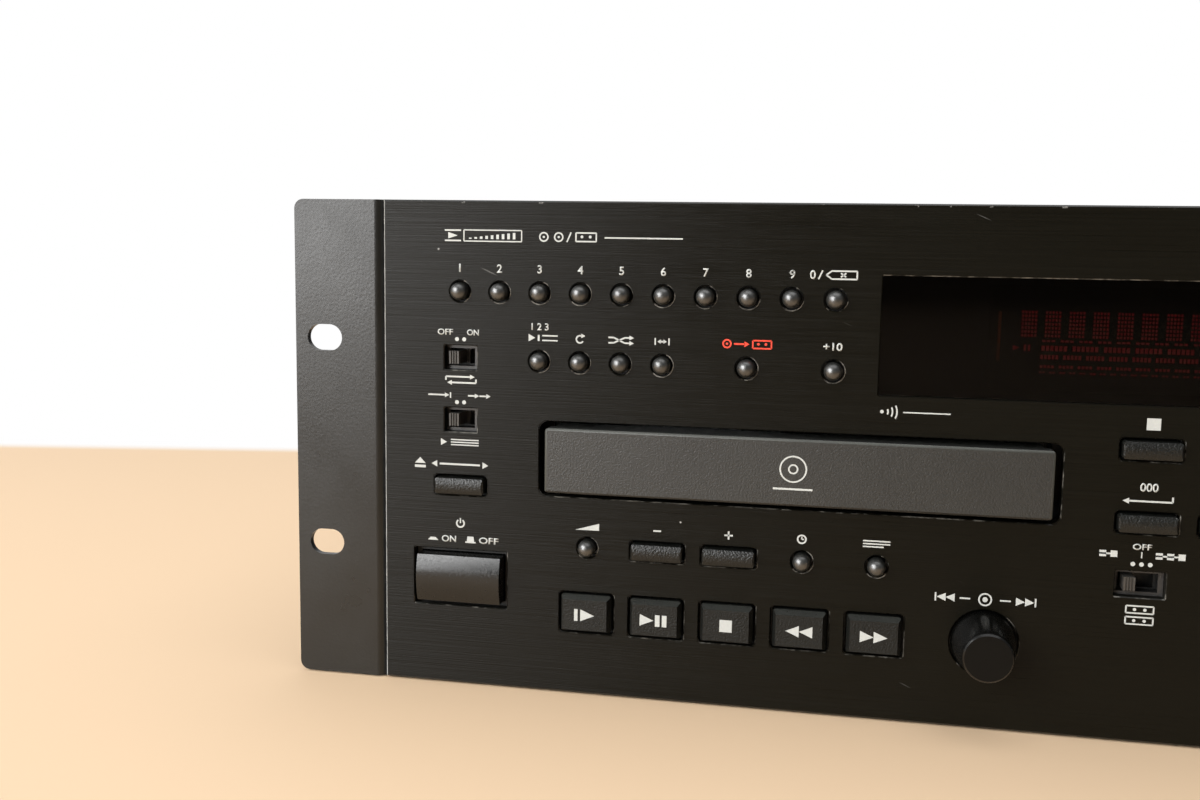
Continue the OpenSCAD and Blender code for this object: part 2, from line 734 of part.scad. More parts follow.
// the moulded frame behind the face plate
module front_frame() color("#303133") {
  z0 = frame_low - face_lift;
  difference() {
    union() {
      at_face(rack_w / 2, z0 + frame_h / 2) slab(face_t, frame_t) square([frame_w, frame_h], center = true);
      for (s = [-1, 1])
        at_face(rack_w / 2 + s * (frame_w - rim_t) / 2, z0 + flange_h + (frame_h - flange_h) / 2)
          slab(frame_back - 0.1, rim_d) square([rim_t, frame_h - flange_h], center = true);
      at_face(rack_w / 2, z0 + frame_h - rim_t / 2) slab(frame_back - 0.1, rim_d) square([frame_w, rim_t], center = true);
      for (b = bosses) at_face(b[0], b[1]) rod(boss_d, face_t + 0.5, board_gap - 0.5);
      for (s = [-1, 1])
        at_face(door_x + s * (door_w / 2 + door_gap + lug_t / 2), pivot_z)
          slab(face_t + 0.5, door_pivot + 2.5) square([lug_t, 2 * door_pivot - 5], center = true);
    }
    for (k = round_keys) at_face(k[1], k[2]) rod(round_d + 2 * key_gap, 0, frame_back + 1);
    for (k = bar_keys) at_face(k[1], k[2]) slab(0, frame_back + 1) round_rect(bar_w + 2 * key_gap, bar_h + 2 * key_gap, key_r);
    for (k = block_keys) at_face(k[1], k[2]) slab(0, frame_back + 1) round_rect(block_w + 2 * key_gap, block_h + 2 * key_gap, key_r);
    for (s = sliders) at_face(s[1], s[2]) slab(0, frame_back + 1) square([s[3] - 2 * slide_edge, slide_h - 2 * slide_edge], center = true);
    for (k = knobs) at_face(k[1], knob_z) rod(shaft_d + 4 * shaft_gap, 0, frame_back + 1);
    at_face(left_x, power_z) slab(0, frame_back + 1) square([power_w + 2 * key_gap, power_h + 2 * key_gap], center = true);
    at_face(drawer_x, drawer_z) slab(0, frame_back + 1) round_rect(drawer_hole_w + 1, drawer_hole_h + 1, drawer_hole_r);
    at_face(window_x + window_w / 2, window_z + window_h / 2) slab(0, frame_back + 1)
      square([window_w + 2 * pane_lip + 4 * pane_gap, window_h + 2 * pane_lip + 4 * pane_gap], center = true);
    at_face(door_x, door_z + door_h / 2) slab(0, frame_back + 1) square([door_w + 2 * door_gap, door_h + 2 * door_gap], center = true);
    at_face(phones_x, knob_z) rod(phones_d + 4, 0, frame_back + 1);
    at_face(door_x - door_w / 2 - lug_t - 2, pivot_z, door_pivot) bar_x(pin_d + 2 * pin_gap, door_w + 2 * lug_t + 4);
  }
}

// the folded pan: floor, sides, rear wall and turned-up front edge
module chassis() color("#8d9094") {
  d = body_d - face_t;
  y = front_y + face_t;
  difference() {
    union() {
      box(-chassis_w / 2, y, foot_h, chassis_w, d, sheet_t);
      for (s = [-1, 1])
        box(s * (chassis_w - sheet_t) / 2 - sheet_t / 2, y, foot_h, sheet_t, d, wall_top - foot_h);
      box(-chassis_w / 2, rear_y - sheet_t, foot_h, chassis_w, sheet_t, wall_top - foot_h);
      box(-chassis_w / 2, front_y + frame_back, foot_h, chassis_w, sheet_t, flange_h);
      for (p = main_posts) translate([p[0], p[1], foot_h]) cylinder(d = post_d, h = sheet_t + post_h);
    }
    side_holes(screw_d + 2 * screw_play);
    rear_holes(screw_d + 2 * screw_play);
    translate([phono_x, rear_y, socket_row]) slab(-5, 10) square([phono_block_w + 2 * fit_gap, phono_block_h + 2 * fit_gap], center = true);
    translate([inlet_x - rack_w / 2, rear_y, socket_row]) slab(-5, 10) square([inlet_w + 2 * fit_gap, inlet_h + 2 * fit_gap], center = true);
    for (x = small_sockets) translate([x, rear_y - 5, socket_row]) rod(6.4, 0, 10);
  }
}

// the folded cover with its cooling slots and rear lip
module top_cover() color("#2f3032") {
  h = case_top - foot_h - 1;
  difference() {
    union() {
      translate([0, front_y + face_t, case_top - h]) slab(0, case_d + fit_gap + cover_t) difference() {
        translate([0, h / 2]) round_rect(face_w, h, cover_r);
        translate([0, h / 2 - cover_t]) round_rect(face_w - 2 * cover_t, h, cover_r - cover_t);
        translate([-face_w, -1]) square([2 * face_w, cover_r + 1.5]);
      }
      box(-face_w / 2 + cover_r, rear_y + fit_gap, case_top - lip_h, face_w - 2 * cover_r, cover_t, lip_h - cover_t / 2);
    }
    side_holes(screw_d + 2 * screw_play);
    rear_holes(screw_d + 2 * screw_play);
    for (c = vent_rows, i = [0:vent_n - 1])
      translate([c[0] + (i - (vent_n - 1) / 2) * vent_pitch, c[1], case_top - 5])
        linear_extrude(10) rotate(90) slot(vent_l, vent_w);
  }
}

// four round rubber feet
module feet() color("#1d1d1e")
  for (x = [-1, 1], y = [front_y + frame_back + sheet_t + foot_inset, rear_y - foot_inset])
    translate([x * (chassis_w / 2 - foot_inset), y, 0]) {
      cylinder(d1 = foot_d - 2, d2 = foot_d, h = 1);
      translate([0, 0, 1]) cylinder(d = foot_d, h = foot_h - 1);
    }

// a pan head screw along +Y with its head behind the origin
module screw(grip) {
  rod(screw_head_d, -screw_head_h, screw_head_h);
  rod(screw_d, -0.1, grip + screw_past + 0.1);
}

module screws() color("#1f2022") {
  grip = ear_t + seam + cover_t + fit_gap + sheet_t;
  for (s = [-1, 1], i = [0:len(side_screws) - 1]) {
    out = i < 2 ? face_w / 2 + seam + ear_t : face_w / 2;
    translate([s * out, front_y + side_screws[i][0], face_lift + side_screws[i][1]])
      rotate([0, 0, s * 90]) screw(i < 2 ? grip : grip - ear_t - seam);
  }
  for (x = rear_screws)
    translate([x, rear_y + fit_gap + cover_t, rear_screw_z]) rotate([0, 0, 180]) screw(cover_t + fit_gap + sheet_t);
}

// the smoked pane in front of the display
module display_window() color("#241a1a")
  at_face(window_x + window_w / 2, window_z + window_h / 2) {
    slab(face_t - pane_t, pane_t + 0.1) round_rect(window_w - 2 * pane_gap, window_h - 2 * pane_gap, window_r);
    slab(face_t, pane_lip_t) square([window_w + 2 * pane_lip, window_h + 2 * pane_lip], center = true);
  }

// a tact switch with the bore for its key
module tact() {
  difference() {
    slab(board_v - switch_h, switch_h) square(switch_w, center = true);
    rod(stem_d + 2 * key_gap, board_v - switch_h - 1, 1 + stem_in + key_travel + 0.5);
  }
}

// a slide switch body on the control board
module slide_body(w, travel) {
  v = frame_back + 0.5;
  difference() {
    slab(v, board_v - v) square([w + 3, slide_h + 3], center = true);
    slab(v - 1, 2.01) square([slider_w + travel + 2 * slider_gap, slider_h + 2 * slider_gap], center = true);
    slab(v + 1, 2 + 2 * slider_gap) square([slider_w + 2 + travel + 2 * slider_gap, slider_h + 1.2 + 2 * slider_gap], center = true);
  }
}

// the control board with what is soldered to it, and the main board
module circuit_boards() color("#2d5a3a") {
  difference() {
    union() {
      at_face((board_left + board_right) / 2, (board_low + board_high) / 2)
        slab(board_v, board_t) square([board_right - board_left, board_high - board_low], center = true);
      at_face(left_x, power_z) slab(board_v - 2.5, 18) square([power_w - 6, power_h], center = true);
    }
    at_face(drawer_x, drawer_z) slab(board_v - 1, board_t + 2) square([loader_w + 2, 2 * (drawer_z - loader_floor) - 4], center = true);
    at_face(phones_x, knob_z) slab(board_v - 1, board_t + 2) square([phones_d + 11, phones_d + 10], center = true);
    at_face(left_x, power_z) rod(power_stem + 2 * key_gap, board_v - 3, power_travel + stem_in + 3);
    for (k = knobs) at_face(k[1], knob_z) rod(shaft_d + 2 * shaft_gap, board_v - 1, board_t + 2);
  }
  for (k = concat(round_keys, bar_keys, block_keys)) at_face(k[1], k[2]) tact();
  for (s = sliders) at_face(s[1], s[2]) slide_body(s[3], s[4]);
  for (k = knobs) at_face(k[1], knob_z) difference() {
    slab(board_v - pot_h, pot_h) square(pot_w, center = true);
    rod(shaft_d + 2 * shaft_gap, board_v - pot_h - 1, pot_h + 2);
  }
  at_face(tube_x + tube_w / 2, window_z + window_h / 2) slab(board_v - tube_t, tube_t - seat_gap) square([tube_w, tube_h], center = true);
  translate([main_board_x - main_board_w / 2, main_board_y - main_board_d / 2, floor_z + post_h]) {
    cube([main_board_w, main_board_d, board_t]);
    for (i = [0:4]) translate([22 + 30 * i, 30 + 12 * (i % 2), board_t]) cylinder(d = 12, h = 22);
    for (i = [0:2]) translate([20 + 52 * i, 70, board_t]) cube([26, 20, 4]);
  }
}

module power_transformer() color("#5b5048") {
  translate([core_x, core_y, floor_z]) {
    difference() {
      translate([-core_w / 2, -core_d / 2, 0]) cube([core_w, core_d, core_h]);
      for (s = [-1, 1]) translate([s * core_w / 4 - core_w / 12, -core_d, core_h / 6]) cube([core_w / 6, 2 * core_d, core_h * 2 / 3]);
    }
    difference() {
      translate([-core_w / 3 + 0.3, -core_d / 2 - 9, core_h / 6 + 0.3]) cube([core_w * 2 / 3 - 0.6, core_d + 18, core_h * 2 / 3 - 0.6]);
      translate([-core_w / 6 - 0.3, -core_d / 2 - 0.3, 0]) cube([core_w / 3 + 0.6, core_d + 0.6, core_h]);
    }
  }
}

// sockets at the rear and the headphone socket at the front
module connectors() color("#26272a") {
  translate([phono_x, rear_y, socket_row]) {
    slab(-sheet_t - 12, sheet_t + 12.1) square([phono_block_w, phono_block_h], center = true);
    slab(0, 2) square([phono_block_w + 4, phono_block_h + 4], center = true);
    for (i = [0:phono_n - 1], k = [-0.5, 0.5])
      translate([(i - (phono_n - 1) / 2) * phono_pitch, 0, k * phono_pitch]) difference() {
        rod(phono_d, 1.9, phono_l - 1.9);
        rod(3.3, 3, phono_l);
      }
  }
  translate([inlet_x - rack_w / 2, rear_y, socket_row]) {
    difference() {
      union() {
        slab(-inlet_d - inlet_t, inlet_d + inlet_t + 0.1) square([inlet_w, inlet_h], center = true);
        slab(0, inlet_t) square([inlet_w + 14, inlet_h + 4], center = true);
      }
      slab(-inlet_d, inlet_d + inlet_t + 1) square([inlet_w - 2 * inlet_t, inlet_h - 2 * inlet_t], center = true);
    }
    for (p = [[-7, -2], [7, -2], [0, 3]]) translate([p[0], 0, p[1]])
      slab(-inlet_d - 0.1, inlet_d - 3) square([2, 4], center = true);
  }
  for (x = small_sockets) translate([x, rear_y, socket_row]) difference() {
    union() {
      rod(6, -12, 13);
      rod(8, 0, 2);
      slab(-14, 14 - sheet_t) square([10, 10], center = true);
    }
    rod(3.6, -10, 20);
  }
  at_face(phones_x, knob_z) difference() {
    union() {
      rod(phones_d + 3.4, -1.5, frame_back + 2);
      rod(phones_d + 6.6, -1.5, 1.5);
      slab(frame_back, phones_l + 1.5 - frame_back) square([phones_d + 9, phones_d + 8], center = true);
    }
    rod(phones_d, -3, phones_l + 1.5);
  }
}

// the frame that carries the tray, with its motor, pickup, bridge and legs
module disc_loader() color("#4a4c50")
  at_face(drawer_x, 0, loader_v) {
    wall_h = ledge_top + runner_h + 8 - loader_floor;
    d = loader_d;
    difference() {
      union() {
        box(-loader_w / 2, 0, loader_floor, loader_w, d, loader_t);
        for (s = [-1, 1]) {
          box(s * (loader_w - loader_t) / 2 - loader_t / 2, 0, loader_floor, loader_t, d, wall_h);
          box(s * (loader_w / 2 - loader_t - runner_w / 2) - runner_w / 2, 0, ledge_top - 2, runner_w, d, 2);
          box(s * (loader_w / 2 - loader_t - runner_w / 2) - runner_w / 2, 0, ledge_top + 2 * tray_gap + runner_h, runner_w, d, 2);
        }
        box(-loader_w / 2, disc_v - loader_v - 14, loader_floor + wall_h - 3, loader_w, 28, 3);
        for (s = [-1, 1], y = [14, d - 14])
          translate([s * (loader_w / 2 - leg_d), y, floor_z - face_lift]) cylinder(d = leg_d, h = loader_floor - floor_z + face_lift + 0.5);
      }
      translate([0, disc_v - loader_v, loader_floor - 1]) cylinder(d = spindle_d + 2, h = 30);
    }
    difference() {
      translate([0, disc_v - loader_v, loader_floor + loader_t + seat_gap]) cylinder(d = disc_motor_d, h = disc_motor_h);
      translate([0, disc_v - loader_v, loader_floor]) cylinder(d = spindle_d + 2 * shaft_gap, h = 30);
    }
    box(-13, disc_v - loader_v + 22, loader_floor + loader_t + seat_gap, 26, 34, 6);
    translate([0, disc_v - loader_v, ledge_top + runner_h + 3]) cylinder(d = 34, h = loader_floor + wall_h - 3 - ledge_top - runner_h - 3 - seat_gap);
  }

// the turntable with its hub and spindle
module disc_turntable() color("#b9bcc0")
  at_face(drawer_x, runner_z + tray_t / 2 - disc_sink + 1, disc_v) {
    down = runner_z + tray_t / 2 - disc_sink + 1 - loader_floor - loader_t - seat_gap;
    translate([0, 0, -turntable_t]) cylinder(d = turntable_d, h = turntable_t);
    translate([0, 0, -0.1]) cylinder(d1 = hub_d, d2 = hub_d - 3, h = hub_h + 0.1);
    translate([0, 0, -down]) cylinder(d = spindle_d, h = down);
  }

// the tray with its runners and the place for a disc
module disc_tray() color("#3c3e42")
  at_face(drawer_x, runner_z, tray_v) difference() {
    union() {
      box(-tray_w / 2, 0, -tray_t / 2, tray_w, tray_l, tray_t);
      for (s = [-1, 1]) box(s * (tray_w - runner_w) / 2 - runner_w / 2, 0, -runner_h / 2, runner_w, tray_l, runner_h);
      box(-tray_w / 2, 0, -runner_h / 2, tray_w, 3, runner_h);
    }
    translate([0, disc_y, tray_t / 2 - disc_sink]) cylinder(d = disc_d, h = runner_h);
    box(-tray_slot_w / 2, disc_y - tray_slot_w / 2, -runner_h, tray_slot_w, tray_l, 2 * runner_h);
  }

// the drawer front that shows
module tray_front() color("#55575a")
  at_face(drawer_x, drawer_z)
    bevelled(drawer_w, drawer_h, 1, -drawer_proud, drawer_t - drawer_proud, drawer_edge, drawer_edge);

// the cassette bay with its back plate, head, capstans and motor
module tape_transport() color("#54575b")
  at_face(door_x, 0) {
    zm = (bay_low + bay_high) / 2;
    h = bay_high - bay_low;
    difference() {
      translate([0, 0, zm]) slab(frame_back, bay_d + bay_t) square([bay_w + 2 * bay_t, h + 2 * bay_t], center = true);
      translate([0, 0, zm]) slab(frame_back - 1, bay_d + 1) square([bay_w, h], center = true);
      for (s = [-1, 1]) {
        translate([s * reel_span / 2, 0, hub_z]) rod(spindle_d + 2 * shaft_gap, bay_v - 1, bay_t + 2);
        translate([s * capstan_span / 2, 0, cassette_z + capstan_z]) rod(capstan_d + 2 * shaft_gap, bay_v - 1, bay_t + 2);
      }
    }
    translate([0, 0, (bay_low + cassette_z) / 2]) slab(bay_v - head_d, head_d - seat_gap) square([head_w, cassette_z - bay_low - 2 * head_gap], center = true);
    for (s = [-1, 1]) translate([s * capstan_span / 2, 0, cassette_z + capstan_z]) {
      rod(capstan_d, bay_v - reel_l, reel_l + bay_t + bearing_l);
      rod(bearing_d, bay_v + bay_t + seat_gap, bearing_l);
      rod(flywheel_d, bay_v + bay_t + bearing_l - seat_gap, flywheel_t);
    }
    translate([0, 0, hub_z + tape_motor_z]) rod(tape_motor_d, bay_v + bay_t + seat_gap, tape_motor_l);
  }

// a reel spindle with its flange, shaft and rear collar
module reel(s)
  at_face(door_x + s * reel_span / 2, hub_z) {
    base = bay_v - 0.3;
    rod(reel_d, base - 1.2 - reel_l, reel_l + 1);
    rod(reel_flange_d, base - 1.2, 1.2);
    rod(spindle_d, base - 0.5, bay_t + 2.5);
    rod(spindle_d + 6, bay_v + bay_t + 0.3, 2.5);
    for (a = [90, 210, 330]) rotate([0, a, 0]) translate([-0.8, base - 1.2 - reel_l, 0]) cube([1.6, reel_l + 0.5, reel_d / 2 + 1.4]);
  }

// the door with its curved foot, pins, cheeks and bonded pane
module cassette_door() color("#313236")
  at_face(door_x, 0) {
    top = door_z + door_h;
    vz = door_z + door_h * 0.56;
    pr = door_pivot;
    difference() {
      union() {
        slab(0, door_t) difference() {
          translate([0, door_z + door_h / 2]) round_rect(door_w, door_h, door_r);
          translate([-door_w, door_z - 10]) square([2 * door_w, 10 + pr]);
        }
        translate([-door_w / 2, 0, 0]) rotate([90, 0, 90]) linear_extrude(door_w) translate([pr, pivot_z]) difference() {
          intersection() {
            circle(pr);
            translate([-pr, -pr]) square([pr, pr + 0.05]);
          }
          circle(pr - door_t);
        }
        for (s = [-1, 1]) {
          translate([s * (door_w / 2 - 1.5) - 1.5, pr, pivot_z]) bar_x(2 * pr - 1, 3);
          translate([s * (door_w / 2 + pin_l / 2 - 1) - pin_l / 2 - 1, pr, pivot_z]) bar_x(pin_d, pin_l + 2);
          translate([s * (cassette_w + cheek_t) / 2 - cheek_t / 2, door_t - 0.1, cassette_z])
            cube([cheek_t, cassette_t + 1 + cheek_t, cheek_h]);
          translate([s * (cassette_w / 2 - 2) - 2 - 0.05, cassette_v + cassette_t, cassette_z])
            cube([4.1, cheek_t - 0.8, cheek_h]);
          translate([s * (cassette_w / 2 - 2) - 2 - 0.05, door_t - 0.1, cassette_z - 1.6])
            cube([4.1, cassette_t + 1 + cheek_t, 1.6]);
        }
      }
      translate([0, 0, vz]) slab(-1, door_t + 2) round_rect(view_w, view_h, 2);
      translate([0, 0, vz]) slab(-1, 1 + view_t + 0.2) round_rect(view_w + 2 * view_ledge, view_h + 2 * view_ledge, 3);
    }
    translate([0, 0, vz]) slab(0.2 - seat_gap, view_t) round_rect(view_w + 2 * view_ledge - 2 * pane_gap, view_h + 2 * view_ledge - 2 * pane_gap, 3 - pane_gap);
  }

// a round key with a domed end
module round_key() {
  r = round_d / 2;
  rod(round_d, r - round_proud, lip_v - r + round_proud + 0.1);
  translate([0, r - round_proud, 0]) sphere(r);
  rod(round_d + 2 * key_lip, lip_v, key_lip_t);
  rod(stem_d, lip_v, stem_end - lip_v);
}

// a bar key with a crowned face
module bar_key() {
  r = bar_h * bar_h / (8 * bar_crown) + bar_crown / 2;
  intersection() {
    bevelled(bar_w, bar_h, key_r, -bar_proud, lip_v + 0.1, bar_edge, bar_edge);
    translate([-bar_w, r - bar_proud, 0]) bar_x(2 * r, 2 * bar_w);
  }
  slab(lip_v, key_lip_t) round_rect(bar_w + 2 * key_lip, bar_h + 2 * key_lip, key_r);
  rod(stem_d, lip_v, stem_end - lip_v);
}

// a transport key with sloping sides
module block_key() {
  bevelled(block_w, block_h, key_r, -block_proud, lip_v + 0.1, block_edge, block_proud);
  slab(lip_v, key_lip_t) round_rect(block_w + 2 * key_lip, block_h + 2 * key_lip, key_r);
  rod(stem_d, lip_v, stem_end - lip_v);
}

// the power button with its bulging face
module power_button() color("#3f4042")
  at_face(left_x, power_z) {
    r = (power_h * power_h / 4 + power_bulge * power_bulge) / (2 * power_bulge);
    front = power_proud + power_bulge;
    translate([-power_w / 2, 0, 0]) rotate([90, 0, 90]) linear_extrude(power_w) intersection() {
      translate([-front - 1, -power_h / 2]) square([front + 1 + lip_v + 0.1, power_h]);
      translate([r - front, 0]) circle(r + 0.02, $fn = 96);
    }
    slab(lip_v, key_lip_t) square([power_w + 2 * key_lip, power_h + 2 * key_lip], center = true);
    rod(power_stem, lip_v, board_v - 2.5 + stem_in - lip_v);
  }

// the slider of a slide switch, resting at the left
module slider(travel)
  translate([-travel / 2, 0, 0]) {
    v = frame_back + 0.5;
    difference() {
      slab(0, v + 1.5) square([slider_w, slider_h], center = true);
      for (i = [-1:1]) translate([i * slider_w / 4, 0, 0]) slab(-1, 1 + slider_groove) square([slider_groove, slider_h + 1], center = true);
    }
    slab(v + 1 + slider_gap, 2) square([slider_w + 2, slider_h + 1.2], center = true);
  }

// the shaft of the track knob with its collar
module encoder_shaft() color("#a9acb0")
  at_face(track_x, knob_z) {
    rod(shaft_d, knob_sink - shaft_in, board_v + board_t - 0.6 - knob_travel - knob_sink + shaft_in);
    rod(shaft_d + 2, lip_v, 1);
  }

// the tapered body of a knob
module knob_body()
  rotate([-90, 0, 0]) {
    translate([0, 0, -knob_proud]) cylinder(d1 = knob_face_d - 2 * knob_edge, d2 = knob_face_d, h = knob_edge);
    translate([0, 0, knob_edge - knob_proud]) cylinder(d1 = knob_face_d, d2 = knob_d, h = knob_proud - knob_edge);
    cylinder(d = knob_d, h = knob_sink);
  }

module track_knob() color("#2a2a2c")
  at_face(track_x, knob_z) difference() {
    knob_body();
    rod(shaft_d + 2 * shaft_gap, knob_sink - shaft_in - shaft_gap, shaft_in + 1);
  }

module level_knob() color("#2a2a2c")
  at_face(level_x, knob_z) {
    knob_body();
    rod(shaft_d, 0, board_v + board_t - 0.6);
    rod(shaft_d + 2, lip_v, 1);
  }

front_panel();
rack_ears();
front_frame();
chassis();
top_cover();
feet();
screws();
display_window();
circuit_boards();
power_transformer();
connectors();
disc_loader();
disc_turntable();
disc_tray();
tray_front();
tape_transport();
color("#d8d8d4") reel(-1);  // supply_spindle
color("#d8d8d4") reel(1);  // takeup_spindle
cassette_door();
power_button();
encoder_shaft();
track_knob();
level_knob();
for (k = round_keys) color("#333436") at_face(k[1], k[2]) round_key();
for (k = bar_keys) color("#333436") at_face(k[1], k[2]) bar_key();
for (k = block_keys) color("#333436") at_face(k[1], k[2]) block_key();
for (s = sliders) color("#2c2c2e") at_face(s[1], s[2]) slider(s[4]);
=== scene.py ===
"""Looks of a rack-mount disc and cassette deck, built round its fixed frame.

Lengths on the front are in millimetres from the left end of the rack front, from
its lower edge and behind its face plate, as a panel drawing gives them.
"""

import math

import bmesh
import bpy
from bpy.props import FloatProperty, FloatVectorProperty, PointerProperty
from mathutils import Matrix, Vector


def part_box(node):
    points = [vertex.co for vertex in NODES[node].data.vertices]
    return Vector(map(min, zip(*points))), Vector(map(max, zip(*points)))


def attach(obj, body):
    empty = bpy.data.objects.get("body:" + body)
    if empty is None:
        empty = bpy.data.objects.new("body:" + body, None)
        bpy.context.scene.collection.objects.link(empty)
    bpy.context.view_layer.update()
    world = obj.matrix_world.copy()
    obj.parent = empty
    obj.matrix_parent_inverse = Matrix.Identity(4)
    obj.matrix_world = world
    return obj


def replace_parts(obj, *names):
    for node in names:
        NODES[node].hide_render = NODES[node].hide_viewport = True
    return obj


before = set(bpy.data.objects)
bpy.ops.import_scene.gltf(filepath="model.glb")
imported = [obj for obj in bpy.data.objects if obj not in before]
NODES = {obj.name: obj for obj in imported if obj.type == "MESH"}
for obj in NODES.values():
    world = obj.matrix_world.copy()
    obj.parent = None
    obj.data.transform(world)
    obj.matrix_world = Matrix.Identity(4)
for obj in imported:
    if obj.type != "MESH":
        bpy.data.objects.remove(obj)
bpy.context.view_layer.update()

bl_info = {
    "name": "Disc and Cassette Deck",
    "version": (1, 0, 0),
    "blender": (4, 5, 0),
    "location": "View3D > Sidebar > Deck",
    "description": "Dresses a rack-mount disc and cassette deck with its finishes, prints and light",
    "category": "Object",
}

MM = 0.001
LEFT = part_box("rack_ears")[0].x
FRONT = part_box("front_panel")[0].y
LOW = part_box("front_panel")[0].z
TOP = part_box("front_panel")[1].z

DIGIT_KEYS = [f"number_key_{n}" for n in "1234567890"]
ROUND_KEYS = DIGIT_KEYS + [
    "program_key", "call_key", "random_key", "ab_key", "sync_key",
    "plus_ten_key", "pitch_key", "time_key", "title_key",
]
BAR_KEYS = [
    "open_close_key", "pitch_down_key", "pitch_up_key", "tape_stop_key", "tape_play_key",
    "tape_record_key", "eject_key", "counter_key", "tape_rewind_key", "tape_forward_key",
]
BLOCK_KEYS = ["cue_key", "play_key", "stop_key", "rewind_key", "forward_key"]
# slide switches, with the width of the hole and the way from the slider to the hole's middle
SLIDERS = {"repeat_slider": (9.2, 1.85), "play_mode_slider": (9.2, 1.85), "relay_slider": (11.8, 2.5)}

# widths of the printed lines
FINE, THIN, PLAIN, BOLD = 0.37, 0.39, 0.41, 0.44
# share of an ink's thickness that stands proud of what it is printed on
PROUD = 0.6
# most of a noise texture lies in this span
NOISE_SPAN = {1: 0.3, 2: 0.7}


# Colours and nodes


def linear(code):
    """Linear colour of an sRGB hex value."""
    parts = [int(code[i : i + 2], 16) / 255 for i in (1, 3, 5)]
    return tuple(c / 12.92 if c <= 0.04045 else ((c + 0.055) / 1.055) ** 2.4 for c in parts)


def shade(colour, factor):
    """A darker or lighter version of a linear colour."""
    return (*[min(1.0, c * factor) for c in colour[:3]], 1.0)


def per(size):
    """Texture scale for a pattern size in millimetres."""
    return 1 / (size * MM)


def add(tree, kind, inputs=None, **settings):
    """Add a shader node with its settings, and its values and links by the input's name or number."""
    made = tree.nodes.new("ShaderNode" + kind)
    for key, value in settings.items():
        setattr(made, key, value)
    for key, value in (inputs or {}).items():
        if isinstance(value, bpy.types.NodeSocket):
            tree.links.new(value, made.inputs[key])
        else:
            made.inputs[key].default_value = value
    return made


def feed(tree, node, links):
    """Link outputs to a node's inputs by name."""
    for key, source in links.items():
        tree.links.new(source, node.inputs[key])


def finish(name, colour, values):
    """A material with its shader's values, and the place of a point; the tree is None if made before."""
    found = bpy.data.materials.get(name)
    if found:
        return found, None, None, None
    made = bpy.data.materials.new(name)
    made.use_nodes = True
    shader = made.node_tree.nodes["Principled BSDF"]
    shader.inputs["Base Color"].default_value = (*colour[:3], 1.0)
    for key, value in values.items():
        shader.inputs[key].default_value = value
    place = add(made.node_tree, "TexCoord").outputs["Object"]
    return made, made.node_tree, shader, place


# Finishes, with pattern sizes and depths in millimetres


def moulded(name, colour, grain, rough, depth=0.012, sheen=1.5):
    """Injection-moulded ABS with a spark-eroded grain: an even dull sheen that breaks up close to."""
    made, tree, shader, place = finish(name, colour, {"Roughness": rough, "IOR": sheen})
    if tree is None:
        return made
    fine = add(tree, "TexNoise", {"Vector": place, "Scale": per(grain), "Detail": 2.0})
    broad = add(tree, "TexNoise", {"Vector": place, "Scale": per(14), "Detail": 3.0})
    tone = add(tree, "MapRange", {0: broad.outputs["Fac"], **NOISE_SPAN, 3: 0.0, 4: 1.0})
    hue = add(
        tree, "Mix", {0: tone.outputs[0], 6: shade(colour, 0.86), 7: shade(colour, 1.12)}, data_type="RGBA",
    )
    gloss = add(tree, "MapRange", {0: fine.outputs["Fac"], **NOISE_SPAN, 3: rough - 0.07, 4: rough + 0.09})
    bump = add(tree, "Bump", {"Height": fine.outputs["Fac"], "Strength": 0.6, "Distance": depth * MM})
    feed(tree, shader, {
        "Base Color": hue.outputs[2], "Roughness": gloss.outputs[0], "Normal": bump.outputs[0],
    })
    return made


def scattered(tree, vector, scale, reach, strength, rarity):
    """A mask of small marks at the middle of a few cells of a pattern."""
    cells = add(tree, "TexVoronoi", {"Vector": vector, "Scale": scale})
    mark = add(tree, "MapRange", {0: cells.outputs["Distance"], 1: reach, 2: reach / 2, 3: 0.0, 4: strength})
    lot = add(tree, "SeparateColor", {0: cells.outputs["Color"]})
    few = add(tree, "Math", {0: lot.outputs[0], 1: rarity}, operation="GREATER_THAN")
    mask = add(tree, "Math", {0: mark.outputs[0], 1: few.outputs[0]}, operation="MULTIPLY")
    return mask.outputs[0]


